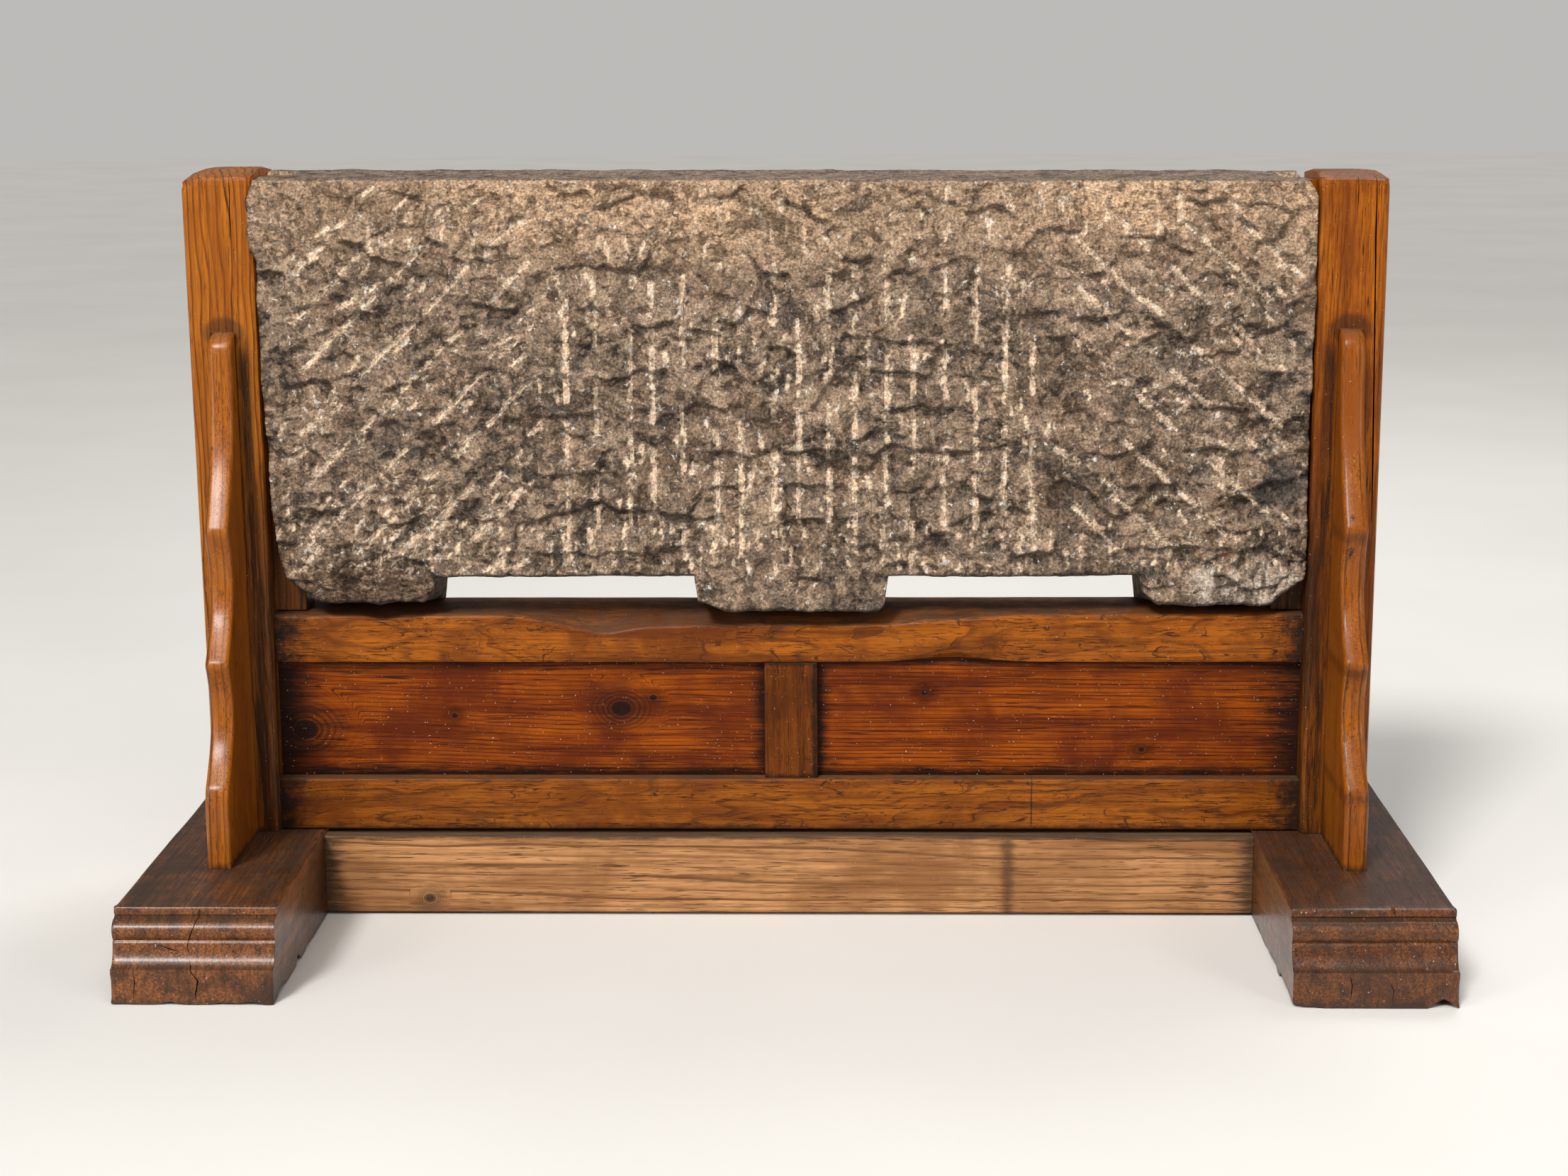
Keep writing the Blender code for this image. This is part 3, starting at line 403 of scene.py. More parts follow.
def carve(x, z, strokes, half_width, seed):
    """How deep the strokes cut at each place and how pale they leave it, both from 0 to 1."""
    cut = np.zeros(x.shape)
    pale = np.zeros(x.shape)
    wander_x = x + 0.0026 * layered_noise(x * 42, z * 42, seed=seed)
    wander_z = z + 0.0026 * layered_noise(x * 42, z * 42, seed=seed + 7)
    for number, (start, end) in enumerate(strokes):
        low_x, high_x = sorted((start[0], end[0]))
        low_z, high_z = sorted((start[1], end[1]))
        reach = 3.2 * half_width + 0.003
        near = np.nonzero((x > low_x - reach) & (x < high_x + reach)
                          & (z > low_z - reach) & (z < high_z + reach))[0]
        if near.size == 0:
            continue
        run_x, run_z = end[0] - start[0], end[1] - start[1]
        length = math.hypot(run_x, run_z)
        off_x, off_z = wander_x[near] - start[0], wander_z[near] - start[1]
        along = (off_x * run_x + off_z * run_z) / length
        across = np.abs(off_x * run_z - off_z * run_x) / length
        beyond = np.maximum(0.0, np.maximum(-along, along - length))
        breaks = 0.5 + 0.5 * value_noise(along * 110, number * 3.7, seed=seed + 2)
        breaks = smooth_step(0.12, 0.50, breaks)
        spread = 0.85 + 0.25 * value_noise(along * 150, number * 5.1, seed=seed + 4)
        away = np.hypot(across, beyond) / half_width
        share = np.clip(1 - away / ((0.50 + 0.60 * breaks) * spread), 0.0, 1.0)
        halo = 0.30 * smooth_step(3.1, 0.8, away)
        cut[near] = np.maximum(cut[near], share * (0.45 + 0.55 * breaks))
        bruised = np.clip(1.9 * share, 0.0, 1.0) * (0.25 + 0.75 * breaks)
        pale[near] = np.maximum(pale[near], np.maximum(bruised, halo))
    return cut, pale


def solid_relief(x, z):
    """The broad relief that the solid already has, as distance behind the front plane."""
    depth = np.empty(x.shape)
    for index, (px, pz) in enumerate(zip(x.tolist(), z.tolist())):
        broad = noise.noise(Vector((px / FLAKE_LENGTH, pz / FLAKE_LENGTH * 1.6, 3.7)))
        small = noise.noise(Vector((px / CHIP_LENGTH, pz / CHIP_LENGTH * 1.4, 9.2)))
        depth[index] = FLAKE_DEPTH * (0.5 - broad) + CHIP_DEPTH * small
    return depth


def broken_relief(x, z):
    """Flaked stone in three sizes, outward positive in metres, and its fine part alone."""
    warp_x = x + 0.007 * layered_noise(x * 26, z * 26, seed=41)
    warp_z = z + 0.007 * layered_noise(x * 26, z * 26, seed=45)
    top_band = smooth_step(0.115, 0.055, SLAB_TOP_Z - z)
    foot_band = smooth_step(0.012, -0.010, z - ROOF_Z)
    large = flakes(warp_x / 0.052, warp_z / 0.040, 0.3, 0.5, 0.06, 51)
    middle = flakes(warp_x / 0.0235, warp_z / 0.0185, 0.35, 0.6, 0.12, 61)
    small = flakes(warp_x / 0.0115, warp_z / 0.0095, 0.3, 0.5, 0.30, 71)
    crumbs = layered_noise(x * 260, z * 260, seed=81, layers=2)
    calm = 1 - 0.12 * top_band - 0.35 * foot_band
    patchy = 0.72 + 0.62 * value_noise(x * 12, z * 14, seed=85)
    fine = calm * patchy * (0.0035 * middle + 0.0022 * small) + 0.00055 * crumbs
    return 0.0060 * calm * large + fine, fine


def face_layers(x, z):
    """Everything about the front face at each place: depth behind its plane and colour masks, one of
    them the fine relief that the material paints as light and shade.
    """
    broken, fine = broken_relief(x, z)
    furrow, furrow_pale = carve(x, z, furrow_strokes(), FURROW_HALF_WIDTH, 91)
    peck, peck_pale = carve(x, z, peck_strokes(), PECK_HALF_WIDTH, 95)
    depth = solid_relief(x, z) - broken + FURROW_DEPTH * furrow + PECK_DEPTH * peck
    pale = np.maximum(furrow_pale, 0.8 * peck_pale)
    # Height of the fine relief from 0 to 1, which the material paints as highlight on crests and shade
    # in hollows.
    relief_light_and_shade = np.clip(0.5 + fine / 0.0060, 0.0, 1.0)
    return depth, pale, relief_light_and_shade


def foot_lift(x, z):
    """How far the worn lower front edge of each of the slab's feet stands off the rail."""
    left_gap, right_gap = LEFT_NOTCH_X, RIGHT_NOTCH_X
    left = 0.012 + 0.014 * (1 - smooth_step(0.0, 0.017, left_gap[0] - x))
    middle = 0.0015 + 0.013 * (1 - smooth_step(0.0, 0.046, x - left_gap[1]))
    middle = middle + 0.009 * (1 - smooth_step(0.0, 0.013, right_gap[0] - x))
    right = 0.008 + 0.016 * (1 - smooth_step(0.0, 0.024, x - right_gap[1]))
    lift = np.where(x < 0.5 * sum(left_gap), left, np.where(x < 0.5 * sum(right_gap), middle, right))
    lift = lift + 0.0022 * (1 + layered_noise(x * 55, 2.2, seed=36))
    return lift * (1 - np.clip((z - SLAB_BOTTOM_Z) / FOOT_HEIGHT, 0.0, 1.0))


def arris_radius(x, z):
    """How far the slab's arris is rounded: most at its feet, least along its top."""
    low = smooth_step(ROOF_Z + 0.03, SLAB_BOTTOM_Z + 0.01, z)
    under_notch = smooth_step(0.0, 0.01, np.minimum(x - LEFT_NOTCH_X[0], RIGHT_NOTCH_X[1] - x))
    radius = 0.0026 + 0.0086 * low * (1 - 0.5 * under_notch)
    return radius * (1 + 0.45 * layered_noise(x * 30, z * 30, seed=99))


def rounded_away(distance, radius):
    """How far a quarter-round arris lies behind its face at a distance from the edge."""
    inside = np.clip(radius - distance, 0.0, radius)
    return radius - np.sqrt(radius * radius - inside * inside)


def face_grid():
    """Rows and columns of places on the front face: arrays x, z and a table of their numbers."""
    edges = group_edges(ROOF_Z)
    counts = [max(2, round((high - low) / GRID_STEP)) for low, high in zip(edges, edges[1:])]
    foot_rows = round(FOOT_HEIGHT / GRID_STEP)
    upper_rows = round((SLAB_TOP_Z - ROOF_Z) / GRID_STEP)
    heights = list(np.linspace(SLAB_BOTTOM_Z, ROOF_Z, foot_rows + 1))
    heights += list(np.linspace(ROOF_Z, SLAB_TOP_Z, upper_rows + 1))[1:]
    columns = sum(counts) + 1
    starts = np.concatenate(([0], np.cumsum(counts)))
    table = np.full((len(heights), columns), -1)
    xs, zs = [], []
    for row, z in enumerate(heights):
        edges = group_edges(z)
        line = np.concatenate([np.linspace(edges[group], edges[group + 1], counts[group] + 1)[
            (0 if group == 0 else 1):] for group in range(5)])
        present = np.ones(columns, dtype=bool)
        if row < foot_rows:
            for group in (1, 3):
                present[starts[group] + 1:starts[group + 1]] = False
        share = max(0.0, (z - ROOF_Z) / (SLAB_TOP_Z - ROOF_Z))
        rise = (top_line(line) - SLAB_TOP_Z) * share
        table[row, present] = len(xs) + np.arange(present.sum())
        xs.extend(line[present])
        zs.extend((z + rise)[present])
    return np.array(xs), np.array(zs), table, starts, foot_rows


def outline_loop(table, starts, foot_rows):
    """Numbers of the places round the face, anticlockwise from the lower left."""
    loop = []
    last = table.shape[1] - 1
    for group in range(5):
        low, high = starts[group], starts[group + 1]
        if group % 2 == 0:
            loop += list(table[0, low:high + 1])
            if group < 4:
                loop += list(table[1:foot_rows, high])
        else:
            loop += list(table[foot_rows, low:high + 1])
            loop += list(table[1:foot_rows, high][::-1])
    loop += list(table[1:, last])
    loop += list(table[-1, :last][::-1])
    loop += list(table[1:-1, 0][::-1])
    return loop


def slab_mesh():
    """The whole slab as one closed mesh: fine front, walls in rings and a coarser back."""
    x, z, table, starts, foot_rows = face_grid()
    depth, _, _ = face_layers(x, z)
    distance = outline_distance(x, z)
    over_post = smooth_step(SLAB_LEFT_X + 0.010, SLAB_LEFT_X + 0.002, x)
    depth = depth + (np.minimum(depth, 0.0028) - depth) * over_post
    depth = depth + np.minimum(rounded_away(distance, arris_radius(x, z)), 0.012 - 0.0095 * over_post)
    lift = foot_lift(x, z)
    points = [np.column_stack((x, SLAB_FRONT_Y + depth, z + lift))]
    faces = []
    for row in range(table.shape[0] - 1):
        low, high = table[row], table[row + 1]
        inside = (low[:-1] >= 0) & (low[1:] >= 0) & (high[:-1] >= 0) & (high[1:] >= 0)
        if row < foot_rows:
            for group in (1, 3):
                inside[starts[group]:starts[group + 1]] = False
        for column in np.nonzero(inside)[0]:
            faces.append((low[column], low[column + 1], high[column + 1], high[column]))

    loop = outline_loop(table, starts, foot_rows)
    rim = points[0][loop]
    rim_lift = lift[loop]
    after, before = np.roll(rim, -1, axis=0), np.roll(rim, 1, axis=0)
    normal = np.column_stack((after[:, 2] - before[:, 2], before[:, 0] - after[:, 0]))
    normal /= np.linalg.norm(normal, axis=1)[:, None]
    count = len(loop)
    previous = np.array(loop)
    total = len(x)
    for share in WALL_RINGS:
        y = rim[:, 1] + (SLAB_BACK_Y - rim[:, 1]) * share
        if share == WALL_RINGS[0]:
            y = np.where(rim[:, 0] < SLAB_LEFT_X, np.minimum(y, POST_LOW.y - 0.0003), y)
        rough = 0.0011 * layered_noise(rim[:, 0] * 40, rim[:, 2] * 40, y * 40, seed=111)
        inset = 0.0016 * smooth_step(0.05, 0.0, share) + 0.0022 * smooth_step(0.93, 1.0, share)
        ring_x = rim[:, 0] + normal[:, 0] * (rough - inset)
        ring_z = rim[:, 2] + normal[:, 1] * (rough - inset)
        ring_z = ring_z + SLAB_TOP_RISE * share * smooth_step(SLAB_TOP_Z - 0.05, SLAB_TOP_Z, rim[:, 2])
        ring_z = ring_z - rim_lift * smooth_step(0.0, 0.85, share)
        ring_z = np.maximum(ring_z, SLAB_BOTTOM_Z + 0.0002)
        ring_x = np.clip(ring_x, SLAB_LEFT_X, SLAB_RIGHT_X)
        points.append(np.column_stack((ring_x, y, ring_z)))
        ring = total + np.arange(count)
        for index in range(count):
            following = (index + 1) % count
            faces.append((previous[following], previous[index], ring[index], ring[following]))
        previous = ring
        total += count

    last_ring = points[-1]
    inner = []
    for pz in np.arange(SLAB_BOTTOM_Z + 0.006, SLAB_TOP_Z, BACK_STEP):
        for px in np.arange(SLAB_LEFT_X + 0.006, SLAB_RIGHT_X, BACK_STEP):
            if outline_distance(np.array([px]), np.array([pz]))[0] > 0.008:
                inner.append((px, pz))
    flat = [Vector((px, pz)) for px, pz in last_ring[:, [0, 2]]] + [Vector(place) for place in inner]
    ring_edges = [(index, (index + 1) % count) for index in range(count)]
    spots, _, triangles, origins, _, _ = geometry.delaunay_2d_cdt(flat, ring_edges, [], 1, 1e-7)
    numbers = []
    extra = []
    for spot, origin in zip(spots, origins):
        if origin and origin[0] < count:
            numbers.append(int(previous[origin[0]]))
        else:
            numbers.append(total + len(extra))
            extra.append((spot[0], spot[1]))
    extra = np.array(extra)
    broken, _ = broken_relief(extra[:, 0] + 5.0, extra[:, 1])
    back = np.array([noise.noise(Vector((px / FLAKE_LENGTH, pz / FLAKE_LENGTH, 21.3)))
                     for px, pz in extra])
    back = BACK_RELIEF * (0.5 + back)
    points.append(np.column_stack((extra[:, 0], SLAB_BACK_Y - back + 0.5 * broken - 0.001, extra[:, 1])))
    for triangle in triangles:
        faces.append(tuple(numbers[index] for index in triangle))

    mesh = bpy.data.meshes.new("stone_slab_rough")
    places = np.concatenate(points)
    mesh.from_pydata(places.tolist(), [], [tuple(int(number) for number in face) for face in faces])
    bm = bmesh.new()
    bm.from_mesh(mesh)
    bmesh.ops.recalc_face_normals(bm, faces=bm.faces)
    bm.to_mesh(mesh)
    bm.free()
    return mesh


def cut_grooves(slab):
    """Cut the grooves in the slab's ends that take the posts' tongues."""
    front_y = POST_LOW.y + TONGUE_SETBACK - GROOVE_PLAY
    back_y = POST_LOW.y + TONGUE_SETBACK + TONGUE_THICK + GROOVE_PLAY
    for side in (-1, 1):
        inner = side * (abs(POST_HIGH.x) - GROOVE_PLAY)
        outer = side * (abs(POST_HIGH.x) + 0.08)
        low_x, high_x = sorted((inner, outer))
        low = Vector((low_x, front_y, SLAB_BOTTOM_Z - FOOT_HEIGHT))
        high = Vector((high_x, back_y, SLAB_HIGH.z + FOOT_HEIGHT))
        bm = bmesh.new()
        bmesh.ops.create_cube(bm, size=1.0)
        for vert in bm.verts:
            vert.co = Vector(((low[axis] + high[axis]) / 2 + vert.co[axis] * (high[axis] - low[axis])
                              for axis in range(3)))
        mesh = bpy.data.meshes.new("groove_cutter")
        bm.to_mesh(mesh)
        bm.free()
        subtract(slab, mesh)


def add_object(name, data):
    """A new object in the scene."""
    thing = bpy.data.objects.new(name, data)
    bpy.context.scene.collection.objects.link(thing)
    return thing


def subtract(piece, mesh, solve_folds=False):
    """Cut one closed mesh out of a piece, whose faces may cross each other in tight folds."""
    cutter = add_object("cutter", mesh)
    modifier = piece.modifiers.new("cut", 'BOOLEAN')
    modifier.operation = 'DIFFERENCE'
    modifier.solver = 'EXACT'
    modifier.use_self = solve_folds
    modifier.object = cutter
    apply_modifiers(piece)
    bpy.data.objects.remove(cutter, do_unlink=True)


def apply_modifiers(thing):
    """Turn an object's modifiers into its mesh."""
    bpy.context.view_layer.update()
    evaluated = thing.evaluated_get(bpy.context.evaluated_depsgraph_get())
    mesh = bpy.data.meshes.new_from_object(evaluated)
    thing.modifiers.clear()
    thing.data = mesh


def add_mask(mesh, name, values):
    """Store one number for each point of the mesh, for its material to read."""
    attribute = mesh.attributes.new(name, 'FLOAT', 'POINT')
    attribute.data.foreach_set("value", np.asarray(values, dtype=np.float32))


def make_slab():
    """The slab with its masks and material, standing for the CAD solid."""
    slab = add_object("chiselled_slab", slab_mesh())
    cut_grooves(slab)
    mesh = slab.data
    mesh.name = "chiselled_slab"
    places = np.empty(len(mesh.vertices) * 3, dtype=np.float32)
    mesh.vertices.foreach_get("co", places)
    places = places.reshape(-1, 3).astype(float)
    _, pale, relief_light_and_shade = face_layers(places[:, 0], places[:, 2])
    on_face = smooth_step(0.026, 0.014, places[:, 1] - SLAB_FRONT_Y)
    add_mask(mesh, "pale_strokes", pale * on_face)
    # The fine relief, stored for the material's painted highlight on crests and painted shade in
    # hollows.
    add_mask(mesh, "relief_light_and_shade", 0.5 + (relief_light_and_shade - 0.5) * on_face)
    mesh.shade_smooth()
    mesh.materials.clear()
    mesh.materials.append(stone_material())
    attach(slab, "root")
    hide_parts("stone_slab")
    return slab


# Materials

class Surface:
    """A material whose nodes are added one call at a time."""

    def __init__(self, name):
        self.material = bpy.data.materials.new(name)
        self.material.use_nodes = True
        self.tree = self.material.node_tree
        self.shader = next(node for node in self.tree.nodes if node.type == 'BSDF_PRINCIPLED')
        self.place = self.add('ShaderNodeTexCoord').outputs["Object"]

    def add(self, kind, inputs=(), **settings):
        """Add a node, set its properties and fill its inputs with numbers or other outputs."""
        node = self.tree.nodes.new(kind)
        for key, value in settings.items():
            setattr(node, key, value)
        for key, value in dict(inputs).items():
            self.fill(node.inputs[key], value)
        return node

    def fill(self, socket, value):
        """Link an output to a socket, or set the socket's own value."""
        if isinstance(value, bpy.types.NodeSocket):
            self.tree.links.new(value, socket)
        else:
            socket.default_value = value

    def math(self, operation, first, second=0.0):
        """One sum on numbers."""
        return self.add('ShaderNodeMath', {0: first, 1: second}, operation=operation).outputs[0]

    def plus(self, first, second):
        """Two numbers added."""
        return self.math('ADD', first, second)

    def minus(self, first, second):
        """One number less another."""
        return self.math('SUBTRACT', first, second)

    def times(self, first, second):
        """Two numbers multiplied."""
        return self.math('MULTIPLY', first, second)

    def swing(self, noise, size):
        """Noise moved to swing about zero, at a given size."""
        return self.times(self.minus(noise, 0.5), size)

    def weigh(self, parts):
        """The sum of numbers, each given with its weight."""
        total = None
        for value, weight in parts:
            part = self.times(value, weight)
            total = part if total is None else self.plus(total, part)
        return total

    def split(self, vector):
        """The three parts of a vector."""
        return self.add('ShaderNodeSeparateXYZ', {0: vector}).outputs

    def join(self, x, y, z):
        """A vector from three parts."""
        return self.add('ShaderNodeCombineXYZ', {0: x, 1: y, 2: z}).outputs[0]

    def vector(self, operation, first, second=(0.0, 0.0, 0.0)):
        """One sum on vectors; its outputs hold a vector and a number."""
        inputs = {0: first, 1: second}
        return self.add('ShaderNodeVectorMath', inputs, operation=operation).outputs

    def stretch(self, vector, scales):
        """A vector with each part multiplied."""
        return self.vector('MULTIPLY', vector, scales)[0]

    def length(self, x, y):
        """The length of a flat vector."""
        return self.vector('LENGTH', self.join(x, y, 0.0))["Value"]

    def noise(self, vector, scale=1.0, detail=4.0, roughness=0.55, distortion=0.0):
        """Noise from about 0 to 1."""
        inputs = {"Vector": vector, "Scale": scale, "Detail": detail, "Roughness": roughness,
                  "Distortion": distortion}
        return self.add('ShaderNodeTexNoise', inputs).outputs["Fac"]

    def step(self, value, low, high, low_out=0.0, high_out=1.0):
        """A smooth step between two levels of a value."""
        inputs = {"Value": value, "From Min": low, "From Max": high, "To Min": low_out,
                  "To Max": high_out}
        return self.add('ShaderNodeMapRange', inputs, interpolation_type='SMOOTHSTEP').outputs[0]

    def ramp(self, value, stops):
        """A colour ramp with (place, colour) stops."""
        node = self.add('ShaderNodeValToRGB', {0: value})
        elements = node.color_ramp.elements
        while len(elements) < len(stops):
            elements.new(0.5)
        for element, (place, colour) in zip(elements, stops):
            element.position = place
            element.color = (*colour, 1.0)
        return node.outputs[0]

    def mix(self, share, first, second, blend='MIX'):
        """Two colours mixed."""
        node = self.add('ShaderNodeMix', data_type='RGBA', blend_type=blend)
        self.fill(node.inputs[0], share)
        for socket, value in ((node.inputs[6], first), (node.inputs[7], second)):
            self.fill(socket, value if isinstance(value, bpy.types.NodeSocket) else (*value, 1.0))
        return node.outputs[2]

    def mask(self, name):
        """A number stored on the mesh's points."""
        return self.add('ShaderNodeAttribute', attribute_name=name).outputs["Fac"]

    def finish(self, colour, roughness, height, bump_distance, specular=0.5):
        """Join the colour, roughness and bump to the shader."""
        bump = self.add('ShaderNodeBump', {"Height": height, "Strength": 1.0,
                                           "Distance": bump_distance})
        self.fill(self.shader.inputs["Base Color"], colour)
        self.fill(self.shader.inputs["Roughness"], roughness)
        self.fill(self.shader.inputs["Normal"], bump.outputs[0])
        self.shader.inputs["Specular IOR Level"].default_value = specular
        return self.material


def facets(make, vector, scale):
    """Height in metres of small broken planes, each tilted its own way, and a colour for each."""
    inputs = {"Vector": vector, "Scale": scale, "Randomness": 1.0}
    cells = make.add('ShaderNodeTexVoronoi', inputs, feature='F1').outputs
    offset = make.vector('SUBTRACT', vector, cells["Position"])[0]
    tilt = make.vector('SUBTRACT', cells["Color"], (0.5, 0.5, 0.5))[0]
    return make.vector('DOT_PRODUCT', offset, tilt)["Value"], cells["Color"]


def stone_material():
    """Grey-brown broken stone, tan towards its top, with pale bruised strokes, and painted light and
    shade on its relief and top face.
    """
    make = Surface("rough_grey_stone")
    # Near-black, used both for the stone's dark patches and for painted shade.
    shade = (0.036, 0.030, 0.026)
    x, y, z = make.split(make.place)
    front = make.step(y, SLAB_FRONT_Y + 0.040, SLAB_FRONT_Y + 0.028)
    pale = make.mask("pale_strokes")
    relief_light_and_shade = make.mask("relief_light_and_shade")
    inputs = {"Vector": make.place, "Scale": 17.0, "Detail": 2.0}
    sway = make.add('ShaderNodeTexNoise', inputs).outputs["Color"]
    swirled = make.add('ShaderNodeVectorMath', {0: sway, 1: (0.030, 0.030, 0.030), 2: make.place},
                       operation='MULTIPLY_ADD').outputs[0]
    fibres = make.noise(make.stretch(swirled, (130.0, 130.0, 380.0)), 1.0, 4.0, 0.70)
    broad = make.noise(make.place, 5.0, 4.0, 0.6)
    patches = make.noise(make.place, 19.0, 6.0, 0.72, 0.4)
    mottle = make.noise(make.place, 80.0, 5.0, 0.76, 0.3)
    bruise = make.noise(make.place, 130.0, 4.0, 0.70)
    grit = make.noise(make.place, 330.0, 3.0, 0.72)
    ledge_tilt, ledge_colour = facets(make, swirled, 30.0)
    wide_tilt, _ = facets(make, swirled, 66.0)
    small_tilt, small_colour = facets(make, swirled, 150.0)
    cell = make.split(small_colour)[0]
    tone = make.plus(patches, make.swing(fibres, 0.22))
    specked = make.noise(make.place, 260.0, 3.0, 0.70)
    tone = make.plus(tone, make.swing(specked, 0.55))
    tone = make.plus(tone, make.swing(cell, 0.14))
    ledge_cell = make.split(ledge_colour)[1]
    tone = make.plus(tone, make.swing(ledge_cell, 0.10))
    colour = make.ramp(tone, ((0.30, (0.050, 0.040, 0.033)), (0.41, (0.105, 0.078, 0.058)),
                              (0.52, (0.190, 0.130, 0.088)), (0.64, (0.290, 0.198, 0.131)),
                              (0.80, (0.430, 0.315, 0.220))))
    colour = make.mix(make.step(mottle, 0.45, 0.34, 0.0, 0.50), colour, shade)
    colour = make.mix(make.step(mottle, 0.56, 0.68, 0.0, 0.45), colour, (0.36, 0.26, 0.178))
    # Painted highlight on the crests of the fine relief and painted shade in its hollows.
    colour = make.mix(make.step(relief_light_and_shade, 0.50, 0.92, 0.0, 0.50), colour, (0.36, 0.258, 0.175))
    colour = make.mix(make.step(relief_light_and_shade, 0.38, 0.06, 0.0, 0.58), colour, shade)
    warm = make.step(make.noise(make.place, 11.0, 3.0, 0.6), 0.53, 0.66, 0.0, 0.40)
    colour = make.mix(warm, colour, (0.150, 0.088, 0.050))
    under_top = make.minus(SLAB_TOP_Z, z)
    band = make.step(make.plus(under_top, make.times(patches, 0.16)), 0.215, 0.090)
    tan = make.times(band, make.step(broad, 0.36, 0.60, 0.40, 0.95))
    tan = make.times(tan, make.step(fibres, 0.36, 0.60, 0.35, 1.0))
    tan = make.times(tan, make.step(x, -0.52, -0.10, 0.55, 1.0))
    colour = make.mix(tan, colour, (0.64, 0.42, 0.255))
    ragged = make.plus(pale, make.swing(bruise, 1.5))
    worn = make.times(make.step(ragged, 0.20, 0.66), make.step(mottle, 0.30, 0.54, 0.45, 1.0))
    colour = make.mix(worn, colour, (0.66, 0.495, 0.345))
    dusting = make.step(make.noise(make.place, 52.0, 6.0, 0.85), 0.585, 0.70, 0.0, 0.50)
    colour = make.mix(dusting, colour, (0.42, 0.325, 0.235))
    fleck = make.noise(swirled, 125.0, 5.0, 0.72)
    fleck = make.plus(fleck, make.swing(patches, 0.16))
    fleck = make.step(make.plus(fleck, make.times(pale, 0.07)), 0.605, 0.655)
    colour = make.mix(make.times(fleck, 0.80), colour, (0.62, 0.58, 0.52))
    stain = make.times(face_mark(make, "brown_foot", x, z, mottle), front)
    stain = make.times(stain, make.step(fibres, 0.62, 0.40, 0.35, 1.0))
    colour = make.mix(stain, colour, (0.070, 0.036, 0.018))
    dark = make.times(face_mark(make, "dark_patch", x, z, patches), front)
    colour = make.mix(dark, colour, (0.028, 0.026, 0.026))
    streaks = make.noise(make.stretch(swirled, (90.0, 90.0, 26.0)), 1.0, 5.0, 0.75)
    lime = face_mark(make, "lime_foot", x, z, mottle)
    lime = make.times(lime, make.step(streaks, 0.44, 0.58, 0.0, 0.90))
    colour = make.mix(make.times(lime, front), colour, (0.50, 0.43, 0.355))
    red = face_mark(make, "red_trace", x, z, mottle)
    colour = make.mix(make.times(red, front), colour, (0.36, 0.10, 0.06))
    normal = make.add('ShaderNodeNewGeometry').outputs["Normal"]
    facing_up = make.split(normal)[2]
    # Painted shade on slopes facing down, under the ledges, and painted highlight on slopes facing up.
    colour = make.mix(make.step(facing_up, -0.12, -0.55, 0.0, 0.58), colour, shade)
    colour = make.mix(make.step(facing_up, 0.22, 0.60, 0.0, 0.30), colour, (0.40, 0.30, 0.215))
    # The top face is painted its own darker, speckled colour, partly painted shade for the weaker light
    # it gets.
    upward = make.step(facing_up, 0.60, 0.95)
    at_top = make.times(upward, make.step(z, SLAB_TOP_Z - 0.030, SLAB_TOP_Z - 0.010))
    shaded_top_colour = make.ramp(specked, ((0.34, (0.045, 0.035, 0.028)), (0.64, (0.270, 0.205, 0.155))))
    colour = make.mix(make.times(at_top, 0.85), colour, shaded_top_colour)
    grain = make.ramp(grit, ((0.36, (0.08, 0.08, 0.08)), (0.64, (0.92, 0.92, 0.92))))
    colour = make.mix(0.62, colour, grain, 'OVERLAY')
    height = make.weigh(((grit, 0.60), (mottle, 0.9), (fibres, 0.25), (specked, 0.35),
                         (ledge_tilt, 480.0), (wide_tilt, 480.0), (small_tilt, 520.0)))
    return make.finish(colour, 0.90, height, 0.0030, 0.25)


def spot(make, x, z, place, reach, ragged):
    """A soft round mark on the face, its rim broken up by noise."""
    off_x = make.math('DIVIDE', make.minus(x, place[0]), reach[0])
    off_z = make.math('DIVIDE', make.minus(z, place[1]), reach[1])
    away = make.plus(make.length(off_x, off_z), make.swing(ragged, 2.2))
    return make.step(away, 1.15, 0.75)


def face_mark(make, name, x, z, ragged):
    """How strongly one of the marks on the slab's face shows."""
    place, reach, strength = FACE_MARKS[name]
    return make.times(spot(make, x, z, place, reach, ragged), strength)


